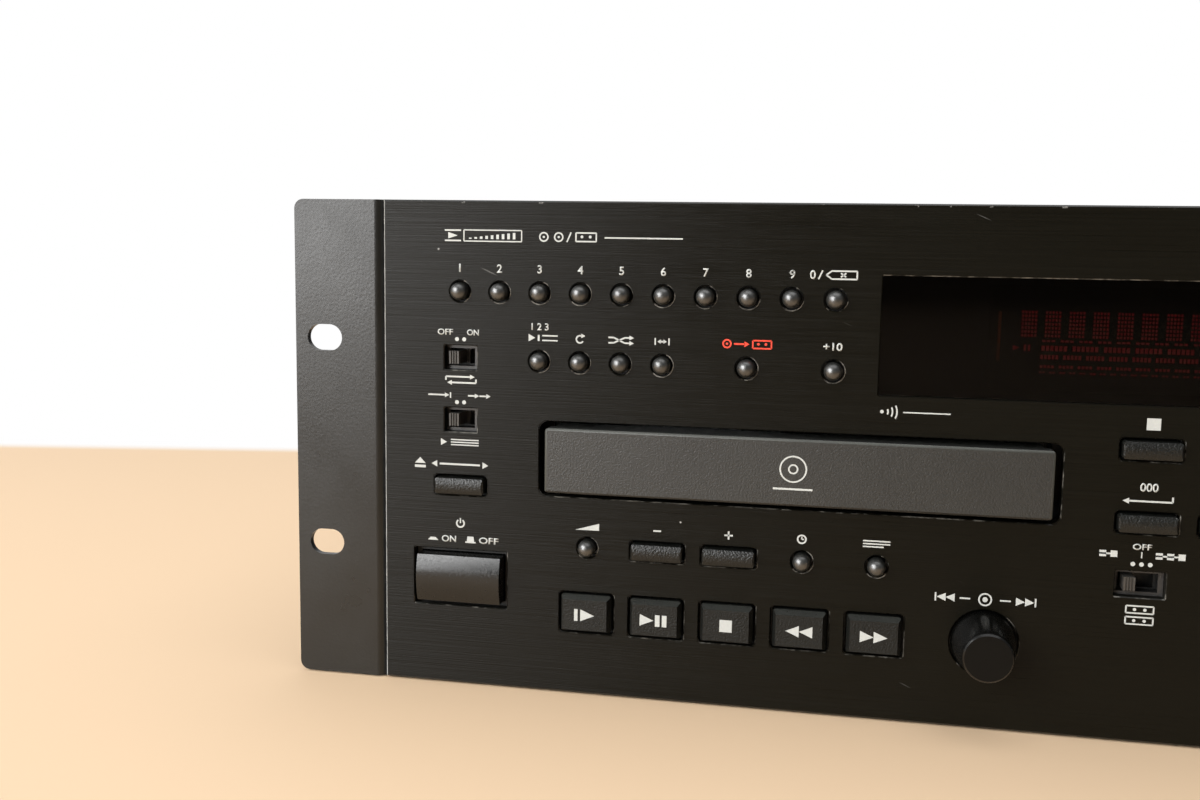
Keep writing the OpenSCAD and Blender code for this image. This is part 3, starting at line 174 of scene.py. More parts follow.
def brushed_face(colour, hairline):
    """Black anodised aluminium, brushed level: fine hairlines, an upright sheen, metal showing through at the
    upper edge, and a painted highlight along the left edge.
    """
    made, tree, shader, place = finish(
        "black anodised brushed aluminium", colour, {"Roughness": 0.36, "IOR": 1.28, "Anisotropic": 0.75},
    )
    if tree is None:
        return made
    # hairlines are far finer on the real plate; they are drawn at the pitch that shows
    lines = add(tree, "Mapping", {"Vector": place, "Scale": (per(60), per(hairline), per(hairline))})
    hair = add(tree, "TexNoise", {"Vector": lines.outputs[0], "Scale": 1.0, "Detail": 3.0, "Roughness": 0.7})
    gloss = add(tree, "MapRange", {0: hair.outputs["Fac"], **NOISE_SPAN, 3: 0.26, 4: 0.48})
    cloud = add(tree, "TexNoise", {"Vector": place, "Scale": per(60), "Detail": 4.0, "Roughness": 0.6})
    smear = add(tree, "MapRange", {0: cloud.outputs["Fac"], 1: 0.3, 2: 0.75, 3: -0.03, 4: 0.05})
    rough = add(tree, "Math", {0: gloss.outputs[0], 1: smear.outputs[0]}, operation="ADD")
    tone = add(
        tree, "Mix",
        {0: hair.outputs["Fac"], 6: shade(colour, 0.5), 7: shade(colour, 1.6)}, data_type="RGBA",
    )
    # the upper edge has lost its dye in flecks; along the left edge a pale line of metal colour is painted
    # all along, a painted highlight of the lit cut edge
    spot = add(tree, "SeparateXYZ", {0: place})
    fleck = add(tree, "TexNoise", {"Vector": place, "Scale": per(3.2), "Detail": 4.0, "Roughness": 0.75})
    bare_and_highlight = add(tree, "MapRange", {0: fleck.outputs["Fac"], 1: 0.62, 2: 0.68, 3: 0.0, 4: 1.0})
    edge = add(
        tree, "MapRange", {0: spot.outputs["Z"], 1: TOP - 0.9 * MM, 2: TOP - 0.1 * MM, 3: 0.0, 4: 1.0},
    )
    top = add(tree, "Math", {0: edge.outputs[0], 1: bare_and_highlight.outputs[0]}, operation="MULTIPLY")
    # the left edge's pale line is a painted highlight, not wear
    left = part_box("front_panel")[0].x
    edge = add(
        tree, "MapRange", {0: spot.outputs["X"], 1: left + 0.42 * MM, 2: left + 0.3 * MM, 3: 0.0, 4: 1.0},
    )
    side = add(tree, "Math", {0: edge.outputs[0], 1: fleck.outputs["Fac"]}, operation="MULTIPLY")
    # a few specks and, struck one way, a few short scratches
    specks = scattered(tree, place, per(11), 0.03, 0.6, 0.8)
    slant = add(
        tree, "Mapping",
        {"Vector": place, "Rotation": (0, math.radians(24), 0), "Scale": (18 * MM, 18 * MM, 1.2 * MM)},
        vector_type="TEXTURE",
    )
    scratches = scattered(tree, slant.outputs[0], 1.0, 0.16, 0.16, 0.985)
    wear_and_highlight = top.outputs[0]
    for mask in (side.outputs[0], specks, scratches):
        wear_and_highlight = add(tree, "Math", {0: wear_and_highlight, 1: mask}, operation="MAXIMUM").outputs[0]
    hue = add(tree, "Mix", {0: wear_and_highlight, 6: tone.outputs[2], 7: (*linear("#c9cac8"), 1.0)}, data_type="RGBA")
    bump = add(tree, "Bump", {"Height": hair.outputs["Fac"], "Strength": 0.6, "Distance": 0.17 * MM})
    upright = add(tree, "Tangent", direction_type="RADIAL", axis="X")
    feed(tree, shader, {
        "Base Color": hue.outputs[2], "Roughness": rough.outputs[0], "Normal": bump.outputs[0],
        "Tangent": upright.outputs[0],
    })
    return made


def rim_with_painted_highlight(name, dye, bare_and_highlight, share):
    """Cut aluminium rim painted pale in patches: a broken pale line round a hole, a painted highlight where
    the rim faces the light.
    """
    made, tree, shader, place = finish(name, dye, {"Roughness": 0.4, "IOR": 1.45})
    if tree is None:
        return made
    patch = add(tree, "TexNoise", {"Vector": place, "Scale": per(2.6), "Detail": 3.0, "Roughness": 0.6})
    # the pale patches are a painted highlight on rims that face the lamps
    wear_and_highlight = add(tree, "MapRange", {0: patch.outputs["Fac"], 1: 0.74 - share, 2: 0.94 - share, 3: 0.0, 4: 1.0})
    hue = add(tree, "Mix", {0: wear_and_highlight.outputs[0], 6: (*dye[:3], 1.0), 7: (*bare_and_highlight, 1.0)}, data_type="RGBA")
    feed(tree, shader, {"Base Color": hue.outputs[2]})
    return made


def powder_coat(name, colour, grain, rough, depth, sheen=1.45):
    """Powder coat on sheet steel: a fine pebbled skin with a wide dull highlight."""
    made, tree, shader, place = finish(name, colour, {"Roughness": rough, "IOR": sheen})
    if tree is None:
        return made
    pebble = add(
        tree, "TexVoronoi", {"Vector": place, "Scale": per(grain), "Randomness": 1.0}, feature="SMOOTH_F1",
    )
    dust = add(tree, "TexNoise", {"Vector": place, "Scale": per(22), "Detail": 5.0, "Roughness": 0.65})
    tone = add(tree, "MapRange", {0: dust.outputs["Fac"], 1: 0.3, 2: 0.72, 3: 0.0, 4: 1.0})
    hue = add(
        tree, "Mix", {0: tone.outputs[0], 6: shade(colour, 0.85), 7: shade(colour, 1.18)}, data_type="RGBA",
    )
    gloss = add(tree, "MapRange", {0: dust.outputs["Fac"], **NOISE_SPAN, 3: rough - 0.05, 4: rough + 0.06})
    bump = add(tree, "Bump", {"Height": pebble.outputs["Distance"], "Strength": 0.6, "Distance": depth * MM})
    feed(tree, shader, {
        "Base Color": hue.outputs[2], "Roughness": gloss.outputs[0], "Normal": bump.outputs[0],
    })
    return made


def bare_metal(name, colour, rough, streak):
    """Plated or turned metal: bright, with faint streaks from the rolling or turning."""
    made, tree, shader, place = finish(name, colour, {"Roughness": rough, "Metallic": 1.0})
    if tree is None:
        return made
    run = add(tree, "Mapping", {"Vector": place, "Scale": (per(streak), per(streak * 6), per(streak))})
    grain = add(tree, "TexNoise", {"Vector": run.outputs[0], "Scale": 1.0, "Detail": 4.0, "Roughness": 0.6})
    gloss = add(
        tree, "MapRange",
        {0: grain.outputs["Fac"], **NOISE_SPAN, 3: max(0.05, rough - 0.1), 4: rough + 0.12},
    )
    hue = add(
        tree, "Mix",
        {0: grain.outputs["Fac"], 6: shade(colour, 0.82), 7: shade(colour, 1.1)}, data_type="RGBA",
    )
    feed(tree, shader, {"Base Color": hue.outputs[2], "Roughness": gloss.outputs[0]})
    return made


def clear_pane(name, colour, rough=0.0):
    """Smoked acrylic sheet: dark, polished, and clear enough to show what is close behind it."""
    made, tree, shader, place = finish(
        name, colour, {"Roughness": rough, "IOR": 1.23, "Transmission Weight": 1.0},
    )
    if tree is None:
        return made
    haze = add(tree, "TexNoise", {"Vector": place, "Scale": per(9), "Detail": 5.0, "Roughness": 0.7})
    gloss = add(tree, "MapRange", {0: haze.outputs["Fac"], 1: 0.35, 2: 0.75, 3: rough, 4: rough + 0.03})
    feed(tree, shader, {"Roughness": gloss.outputs[0]})
    return made


def ink(name, colour, glow=0.0):
    """Screen-printed ink: flat and opaque, slightly thin in places."""
    made, tree, shader, place = finish(name, colour, {"Roughness": 0.55, "IOR": 1.45})
    if tree is None:
        return made
    thin = add(tree, "TexNoise", {"Vector": place, "Scale": per(0.7), "Detail": 2.0})
    hue = add(
        tree, "Mix",
        {0: thin.outputs["Fac"], 6: shade(colour, 0.88), 7: shade(colour, 1.06)}, data_type="RGBA",
    )
    feed(tree, shader, {"Base Color": hue.outputs[2]})
    # a glow makes the marks give off light of their own, a painted glow
    if glow:
        shader.inputs["Emission Color"].default_value = (*colour[:3], 1.0)
        shader.inputs["Emission Strength"].default_value = glow
    return made


# Pieces


def on_front(x, z, v=0.0):
    """A point on the front, from the left end, the lower edge and behind the face plate."""
    return Vector((LEFT + x * MM, FRONT + v * MM, LOW + z * MM))


def middle(node):
    """Where a node sits on the front: from the left, from the lower edge, depth of its front."""
    low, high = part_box(node)
    return ((low.x + high.x) / 2 - LEFT) / MM, ((low.z + high.z) / 2 - LOW) / MM, (low.y - FRONT) / MM


def corner(node):
    """The lower left corner of a node on the front."""
    low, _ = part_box(node)
    return (low.x - LEFT) / MM, (low.z - LOW) / MM


def hole(slider):
    """The middle of a slide switch's hole on the front."""
    x, z, _ = middle(slider)
    return x + SLIDERS[slider][1], z


def coat(nodes, material):
    """Give CAD nodes a finish."""
    for name in nodes:
        for place in NODES[name].material_slots:
            place.material = material


def piece(bm, name, body, materials, smooth=None):
    """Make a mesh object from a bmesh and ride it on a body."""
    bmesh.ops.recalc_face_normals(bm, faces=bm.faces)
    mesh = bpy.data.meshes.new(name)
    bm.to_mesh(mesh)
    bm.free()
    for material in materials:
        mesh.materials.append(material)
    if smooth:
        mesh.shade_smooth()
        mesh.set_sharp_from_angle(angle=math.radians(smooth))
        # faces that look along an axis are flat ones
        for face in mesh.polygons:
            face.use_smooth = max(abs(n) for n in face.normal) < 0.9999
    obj = bpy.data.objects.new(name, mesh)
    bpy.context.scene.collection.objects.link(obj)
    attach(obj, body)
    return obj


def recut(node, name, body, materials, choose, smooth=30):
    """A merged copy of a node, with a finish for each of its solids or faces."""
    bm = bmesh.new()
    bm.from_mesh(NODES[node].data)
    bmesh.ops.remove_doubles(bm, verts=bm.verts, dist=0.002 * MM)
    seen = set()
    for start in bm.verts:
        if start in seen:
            continue
        island, todo = [], [start]
        seen.add(start)
        while todo:
            vert = todo.pop()
            island.append(vert)
            for edge in vert.link_edges:
                other = edge.other_vert(vert)
                if other not in seen:
                    seen.add(other)
                    todo.append(other)
        low = Vector([min(v.co[i] for v in island) for i in range(3)])
        high = Vector([max(v.co[i] for v in island) for i in range(3)])
        for face in {f for v in island for f in v.link_faces}:
            face.material_index = choose(low, high, face.calc_center_median(), face.normal)
    obj = piece(bm, name, body, materials, smooth)
    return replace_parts(obj, node)


def printed(bm, name, body, material, v, thick, proud=0.0):
    """Turn drawn marks into thin closed plates at a depth, a share of them proud, and ride them on a body."""
    bmesh.ops.translate(bm, verts=bm.verts, vec=on_front(0, 0, v - proud * thick))
    bmesh.ops.recalc_face_normals(bm, faces=bm.faces)
    for face in bm.faces:
        if face.normal.y > 0:
            face.normal_flip()
    bmesh.ops.solidify(bm, geom=bm.faces[:], thickness=thick * MM)
    return piece(bm, name, body, [material])


# Shapes of the marks, drawn in millimetres on the front


def outline(bm, points):
    """A flat mark from its corners, going round to the left."""
    bm.faces.new([bm.verts.new((x * MM, 0, z * MM)) for x, z in points])


def block(bm, x0, z0, x1, z1):
    """A flat rectangle from corner to corner."""
    outline(bm, [(x0, z0), (x1, z0), (x1, z1), (x0, z1)])


def bar(bm, x, z, w, h):
    """A flat rectangle round its middle."""
    block(bm, x - w / 2, z - h / 2, x + w / 2, z + h / 2)


def surround(bm, x, z, w, h, side, edge):
    """A flat frame round a middle, open at the left, side wide at the right and edge wide along the rails."""
    block(bm, x + w / 2 - side, z - h / 2, x + w / 2, z + h / 2)
    for way in (-1, 1):
        rail = z + way * (h / 2 - edge / 2)
        block(bm, x - w / 2, rail - edge / 2, x + w / 2 - side, rail + edge / 2)


def arrow(bm, x, z, w, h, way=1):
    """A triangle that points along X, w long and h high, round its middle."""
    tip = (x + way * w / 2, z)
    base = [(x - way * w / 2, z - way * h / 2), (x - way * w / 2, z + way * h / 2)]
    outline(bm, [base[0], tip, base[1]])


def stroke(bm, points, w):
    """A line of flat bars through points."""
    for (x0, z0), (x1, z1) in zip(points, points[1:]):
        length = math.hypot(x1 - x0, z1 - z0)
        nx, nz = -(z1 - z0) / length * w / 2, (x1 - x0) / length * w / 2
        outline(bm, [(x0 - nx, z0 - nz), (x1 - nx, z1 - nz), (x1 + nx, z1 + nz), (x0 + nx, z0 + nz)])


def boxed(bm, x0, z0, x1, z1, w):
    """A rectangle drawn as a line."""
    stroke(bm, [(x0, z0), (x1, z0), (x1, z1), (x0, z1), (x0, z0)], w)


def arc(bm, x, z, r, w, start=0.0, sweep=360.0, steps=28):
    """A ring or part of one, w wide, from start degrees."""
    a = math.radians(start)
    ends = [
        bm.verts.new(((x + math.cos(a) * q) * MM, 0, (z + math.sin(a) * q) * MM))
        for q in (r - w / 2, r + w / 2)
    ]
    edge = bm.edges.new(ends)
    bmesh.ops.spin(
        bm, geom=[*ends, edge], cent=(x * MM, 0, z * MM), axis=(0, -1, 0),
        angle=math.radians(sweep), steps=steps, use_merge=sweep == 360.0,
    )


def dot(bm, x, z, d):
    """A round dot."""
    bmesh.ops.create_circle(
        bm, cap_ends=True, segments=24, radius=d / 2 * MM,
        matrix=Matrix.Translation((x * MM, 0, z * MM)) @ Matrix.Rotation(math.radians(90), 4, "X"),
    )


def disc(bm, x, z, r, w, hub):
    """A disc: a ring with a dot in it."""
    arc(bm, x, z, r, w)
    dot(bm, x, z, hub)


def cassette(bm, x0, z0, x1, z1, w, reels, level, d):
    """A cassette: a boxed line with a dot for each reel."""
    boxed(bm, x0, z0, x1, z1, w)
    for x in reels:
        dot(bm, x, level, d)


def cap(bm, x, base, low, high, h):
    """A key seen from the side: low wide at its base and high wide at its top."""
    top = base + h
    outline(bm, [(x - low / 2, base), (x + low / 2, base), (x + high / 2, top), (x - high / 2, top)])


def eject(bm, x, base, w):
    """The usual sign for opening: a triangle over a bar."""
    outline(bm, [(x - w / 2, base + 1.2), (x + w / 2, base + 1.2), (x, base + 2.8)])
    block(bm, x - w / 2, base, x + w / 2, base + 0.7)


def figures(bm, text, x, z, height, width=None):
    """Plain bold figures round a middle at x, standing on z."""
    curve = bpy.data.curves.new("figures", "FONT")
    curve.body = text
    curve.offset = 0.02
    holder = bpy.data.objects.new("figures", curve)
    bpy.context.scene.collection.objects.link(holder)
    shaped = holder.evaluated_get(bpy.context.evaluated_depsgraph_get())
    mesh = bpy.data.meshes.new_from_object(shaped)
    low = [min(v.co[i] for v in mesh.vertices) for i in (0, 1)]
    high = [max(v.co[i] for v in mesh.vertices) for i in (0, 1)]
    tall = height * MM / (high[1] - low[1])
    wide = width * MM / (high[0] - low[0]) if width else tall
    mesh.transform(
        Matrix.Translation((x * MM, 0, z * MM))
        @ Matrix.Rotation(math.radians(90), 4, "X")
        @ Matrix.Diagonal((wide, tall, 1, 1))
        @ Matrix.Translation((-(low[0] + high[0]) / 2, -low[1], 0))
    )
    bm.from_mesh(mesh)
    bpy.data.objects.remove(holder)
    bpy.data.curves.remove(curve)
    bpy.data.meshes.remove(mesh)


# Groups of marks, each placed by the key, knob or window that it belongs to


def digit_marks(bm):
    """Figures over the number keys, and a tag with a cross after the nought."""
    x, z, _ = middle("number_key_0")
    base, tall = z + 5.1, 2.2
    for name in DIGIT_KEYS[:-1]:
        figures(bm, name[-1], middle(name)[0], base, tall)
    figures(bm, "0", x - 5.86, base, tall)
    stroke(bm, [(x - 4.46, base), (x - 3.46, base + tall)], FINE)
    point, left, right, low, high = (x - 2.56, base + 1.1), x - 1.16, x + 5.04, base + 0.1, base + 2.1
    stroke(bm, [point, (left, high), (right, high), (right, low), (left, low), point], THIN)
    for start, end in ((0.6, 1.6), (1.6, 0.6)):
        stroke(bm, [(x + 1.04, base + start), (x + 2.34, base + end)], THIN)


def header_marks(bm):
    """Upper left: an arrow between bars, rising bars in a box, two discs, a cassette and a line."""
    x, row = middle("number_key_1")[0] - 4.2, (TOP - LOW) / MM - 9.35
    for way in (-1, 1):
        bar(bm, x + 2.25, row + 0.1 + way * 1.35, 4.5, 0.4)
    arrow(bm, x + 2.25, row + 0.1, 2.6, 1.7)
    boxed(bm, x + 5.3, row - 1.35, x + 21.1, row + 1.55, 0.3)
    for i in range(9):
        left = x + 6.7 + 1.5 * i
        block(bm, left, row - 0.75, left + 0.7, row - 0.45 + 0.17 * i)
    for step in (27.1, 31.1):
        disc(bm, x + step, row, 1.1, FINE, 0.6)
    stroke(bm, [(x + 33.3, row - 1.25), (x + 34.4, row + 1.25)], FINE)
    cassette(bm, x + 35.7, row - 1.05, x + 41.1, row + 1.15, FINE, (x + 37.3, x + 39.5), row + 0.15, 0.75)
    block(bm, x + 43.3, row - 0.2, x + 63.7, row + 0.15)


def switch_marks(bm):
    """Slide switches at the left: OFF and ON, a loop, one track, track after track, and a list."""
    x, z = hole("repeat_slider")
    figures(bm, "OFF", x - 4.25, z + 6.05, 1.6, 4.3)
    figures(bm, "ON", x + 3.45, z + 6.05, 1.6, 3.3)
    for step in (-1, 1):
        dot(bm, x + step, z + 4.95, 1.1)
    upper, lower = z - 5.15, z - 6.75
    stroke(bm, [(x - 4.1, z - 6.15), (x - 4.1, upper), (x + 2.7, upper)], BOLD)
    arrow(bm, x + 3.3, upper, 1.3, 1.3)
    stroke(bm, [(x + 4.3, z - 5.75), (x + 4.3, lower), (x - 2.5, lower)], BOLD)
    arrow(bm, x - 3.1, lower, 1.3, 1.3, -1)
    x, z = hole("play_mode_slider")
    for step in (-1, 1):
        dot(bm, x + step, z + 4.8, 1.1)
    row = z + 6.65
    for step, length in ((-9.1, 4.8), (2.1, 2.0), (5.3, 2.0)):
        end = x + step + length
        stroke(bm, [(x + step, row), (end, row)], PLAIN)
        arrow(bm, end + 0.5, row, 1.2, 1.3)
    bar(bm, x - 2.825, row, 0.35, 1.5)
    arrow(bm, x - 4.7, z - 6.15, 1.7, 1.9)
    for i in range(3):
        bar(bm, x + 1.2, z - 6.84 + 0.7 * i, 7.8, 0.32)


def power_marks(bm):
    """Drawer and power: an eject sign, an arrow both ways, a power sign, and ON and OFF by key shapes."""
    x, z, _ = middle("open_close_key")
    row = z + 5.75
    eject(bm, x - 11.45, z + 4.45, 3.1)
    bar(bm, x - 0.2, row, 11.4, 0.5)
    for way in (-1, 1):
        arrow(bm, x - 0.2 + way * 7.2, row, 1.6, 1.8, way)
    x, z, _ = middle("power_button")
    arc(bm, x, z + 15.2, 1.05, BOLD, 125, 290)
    bar(bm, x, z + 15.95, 0.36, 1.4)
    base = z + 9.85
    cap(bm, x - 7.8, base + 0.3, 3.0, 1.4, 0.8)
    figures(bm, "ON", x - 3.25, base, 1.8, 4.1)
    bar(bm, x + 2.85, base + 0.2, 2.9, 0.4)
    cap(bm, x + 2.85, base + 0.4, 2.1, 1.7, 1.4)
    figures(bm, "OFF", x + 8.05, base, 1.8, 5.5)


def program_marks(bm):
    """Program row: a list with figures, a turn back, crossing arrows, a span between bars, and +10."""
    x, z, _ = middle("program_key")
    row = z + 6.2
    figures(bm, "1 2 3", x + 0.22, row + 2.0, 1.9)
    arrow(bm, x - 1.98, row, 1.8, 2.0)
    bar(bm, x - 0.13, row, 0.5, 1.6)
    for way in (-1, 1):
        bar(bm, x + 2.92, row + way * 0.625, 4.2, 0.35)
    x = middle("call_key")[0]
    arc(bm, x + 0.08, row - 0.05, 0.95, PLAIN, 60, 270)
    arrow(bm, x + 0.98, row + 0.85, 1.1, 1.2)
    x = middle("random_key")[0]
    for turn in (0.7, -0.7):
        start, end = row + turn, row - turn
        stroke(bm, [(x - 3.26, start), (x - 1.86, start), (x + 1.14, end), (x + 2.34, end)], PLAIN)
        arrow(bm, x + 2.94, end, 1.2, 1.2)
    x = middle("ab_key")[0]
    for way in (-1, 1):
        bar(bm, x + way * 1.8, row, 0.36, 1.8)
        arrow(bm, x + way * 0.8, row, 0.9, 1.1, way)
    stroke(bm, [(x - 0.6, row), (x + 0.6, row)], PLAIN)
    figures(bm, "+10", middle("plus_ten_key")[0] - 0.26, row - 1.0, 2.0, 4.8)


def pitch_marks(bm):
    """Pitch, time and title: a wedge, minus and plus, a clock, and the lines of a list."""
    x, z, _ = middle("pitch_key")
    outline(bm, [(x - 3.3, z + 4.85), (x + 3.2, z + 4.85), (x + 3.2, z + 6.75)])
    row = z + 5.775
    bar(bm, middle("pitch_down_key")[0] - 0.05, row, 2.1, 0.45)
    x = middle("pitch_up_key")[0] - 0.1
    bar(bm, x, row, 2.2, 0.45)
    bar(bm, x, row, 0.44, 2.15)
    x, level = middle("time_key")[0] - 0.15, z + 5.95
    arc(bm, x, level, 1.05, PLAIN)
    stroke(bm, [(x, level + 0.7), (x, level), (x + 0.55, level)], 0.34)
    x = middle("title_key")[0] - 3.6
    for i, w in enumerate((5.2, 6.8, 6.8)):
        block(bm, x, z + 4.95 + 0.75 * i, x + w, z + 5.3 + 0.75 * i)


def knob_marks(bm):
    """Over the track knob: a ring for pushing, and a dash and a skip sign to each side."""
    x, z, _ = middle("track_knob")
    x, row = x - 0.2, z + 11.2
    for way in (-1, 1):
        bar(bm, x + way * 12.1, row, 0.4, 2.2)
        for far in (10.7, 8.5):
            arrow(bm, x + way * far, row, 2.2, 2.1, way)
        bar(bm, x + way * 4.9, row, 2.6, 0.4)
    disc(bm, x, row, 1.5, THIN, 1.3)


def sensor_marks(bm):
    """Under the display: a dot with waves, and a line."""
    x, z = corner("display_window")
    row = z - 2.0
    dot(bm, x + 3.1, row, 0.9)
    for r in (1.5, 2.6, 3.7):
        arc(bm, x + 3.1, row, r, THIN, -26, 52, 10)
    bar(bm, x + 14.05, row, 11.5, 0.32)


def tape_marks(bm):
    """Over the tape keys: stop, play, wind both ways, a counter that returns, and eject."""
    x, z, _ = middle("tape_stop_key")
    bar(bm, x, z + 6.35, 3.2, 2.9)
    arrow(bm, middle("tape_play_key")[0], z + 6.4, 3.4, 3.2)
    x, z, _ = middle("counter_key")
    row, line = z + 6.75, z + 5.45
    for name, way in (("tape_rewind_key", -1), ("tape_forward_key", 1)):
        for step in (-1.35, 1.35):
            arrow(bm, middle(name)[0] + step, row, 2.7, 2.8, way)
    figures(bm, "000", x, z + 7.85, 2.1)
    stroke(bm, [(x + 5.5, row), (x + 5.5, line), (x - 4.5, line)], BOLD)
    arrow(bm, x - 5.2, line, 1.5, 1.5, -1)
    x, z, _ = middle("eject_key")
    eject(bm, x, z + 5.45, 3.2)


def relay_marks(bm):
    """Relay switch: OFF, its three places, two and three decks in line, and two cassettes."""
    x, z = hole("relay_slider")
    figures(bm, "OFF", x - 0.05, z + 8.7, 1.5, 4.4)
    bar(bm, x - 0.1, z + 7.45, 0.3, 1.5)
    for step in (-2, 0, 2):
        dot(bm, x + step, z + 5.1, 1.1)
    row, pitch, width = z + 7.4, 2.6, 1.6
    for first, count in ((x - 9.1, 2), (x + 3.9, 3)):
        for i in range(count):
            bar(bm, first + pitch * i, row, width, 1.6)
        last = first + pitch * (count - 1)
        block(bm, first - width / 2, row - 0.2, last - width / 2, row + 0.2)
    for level in (z - 6.3, z - 9.1):
        cassette(bm, x - 2.9, level - 0.9, x + 3.5, level + 0.9, FINE, (x - 0.9, x + 1.5), level, 0.8)


def level_marks(bm):
    """The scale round the level knob, and a headphones sign over the socket at its right."""
    x, z, _ = middle("level_knob")
    inner, short, long = 10.2, 11.4, 12.4
    for i in range(11):
        a = math.radians(240 - 30 * i)
        outer = short if i % 5 else long
        stroke(bm, [(x + math.cos(a) * r, z + math.sin(a) * r) for r in (inner, outer)], 0.49)
    figures(bm, "0", x - 8.5, z - 13.8, 2.0)
    figures(bm, "10", x + 8.2, z - 13.8, 2.0)
    x, z = x + 36.1, z + 10.7
    arc(bm, x, z, 1.9, BOLD, 0, 180, 14)
    for way in (-1, 1):
        bar(bm, x + way * 1.9, z - 0.8, 1.1, 1.6)


def signal_marks(bm):
    """Red marks: a disc that goes to a cassette, and the record dot."""
    x, z, _ = middle("sync_key")
    row = z + 6.2
    disc(bm, x - 5.08, row, 1.0, PLAIN, 0.6)
    stroke(bm, [(x - 3.28, row), (x - 0.48, row)], BOLD)
    arrow(bm, x + 0.02, row, 1.3, 1.5)
    cassette(bm, x + 1.52, row - 1.0, x + 6.22, row + 1.0, THIN, (x + 2.92, x + 4.82), row + 0.1, 0.7)
    x, z, _ = middle("tape_record_key")
    dot(bm, x, z + 6.4, 3.2)


def key_mark(bm, name, x, z):
    """The usual sign on a transport key, round its middle."""
    if name == "cue_key":
        block(bm, x - 2.8, z - 1.62, x - 1.85, z + 1.62)
        arrow(bm, x + 0.8, z, 3.8, 3.24)
    elif name == "play_key":
        arrow(bm, x - 2.05, z, 3.67, 3.13)
        for step in (0.2, 2.05):
            block(bm, x + step, z - 1.57, x + step + 1.24, z + 1.57)
    elif name == "stop_key":
        bar(bm, x, z, 3.24, 3.24)
    else:
        way = -1 if name == "rewind_key" else 1
        for step in (-1.73, 1.73):
            arrow(bm, x + step, z, 3.46, 3.02, way)


WHITE_MARKS = (
    digit_marks, header_marks, switch_marks, power_marks, program_marks, pitch_marks,
    knob_marks, sensor_marks, tape_marks, relay_marks, level_marks,
)


# Settings


class DeckColours(bpy.types.PropertyGroup):
    """Colours of the finishes."""

    face: FloatVectorProperty(
        name="Face plate", description="Dyed anodised plate", subtype="COLOR", default=linear("#0b0a05"),
    )
    ear: FloatVectorProperty(
        name="Rack ears", description="Powder coat of the ears", subtype="COLOR", default=linear("#0f100e"),
    )
    cover: FloatVectorProperty(
        name="Cover", description="Textured paint of the cover", subtype="COLOR", default=linear("#242425"),
    )
    key: FloatVectorProperty(
        name="Keys", description="Moulded keys", subtype="COLOR", default=linear("#131412"),
    )
    knob: FloatVectorProperty(
        name="Knobs", description="Moulded knobs", subtype="COLOR", default=linear("#080807"),
    )
    drawer: FloatVectorProperty(
        name="Drawer front", description="Matt grey drawer front", subtype="COLOR", default=linear("#1c1d1b"),
    )
    mark: FloatVectorProperty(
        name="Marks", description="Printed marks", subtype="COLOR", default=linear("#bec2c0"),
    )
    signal: FloatVectorProperty(
        name="Signal marks", description="Red printed marks", subtype="COLOR", default=linear("#e2452f"),
    )
    dots: FloatVectorProperty(
        name="Display dots", description="Dots of the display", subtype="COLOR", default=linear("#b01826"),
    )
    floor: FloatVectorProperty(
        name="Floor", description="Plain pale floor", subtype="COLOR", default=linear("#f2d3af"),
    )


class DeckSizes(bpy.types.PropertyGroup):
    """Sizes of the surface detail."""

    hairline: FloatProperty(
        name="Hairline", description="Pitch of the brushed lines", default=0.4 * MM, unit="LENGTH",
    )
    key_grain: FloatProperty(
        name="Key grain", description="Grain of the moulded keys", default=0.5 * MM, unit="LENGTH",
    )
    drawer_grain: FloatProperty(
        name="Drawer grain", description="Grain of the drawer front", default=0.45 * MM, unit="LENGTH",
    )
    coat_grain: FloatProperty(
        name="Coat grain", description="Grain of the powder coat", default=0.7 * MM, unit="LENGTH",
    )
    cover_grain: FloatProperty(
        name="Cover grain", description="Grain of the cover paint", default=1.1 * MM, unit="LENGTH",
    )
    ink: FloatProperty(
        name="Ink", description="Thickness of the printed marks", default=0.03 * MM, unit="LENGTH",
    )


class DeckSettings(bpy.types.PropertyGroup):
    """All settings of the deck."""

    colours: PointerProperty(type=DeckColours)
    sizes: PointerProperty(type=DeckSizes)


# Operators


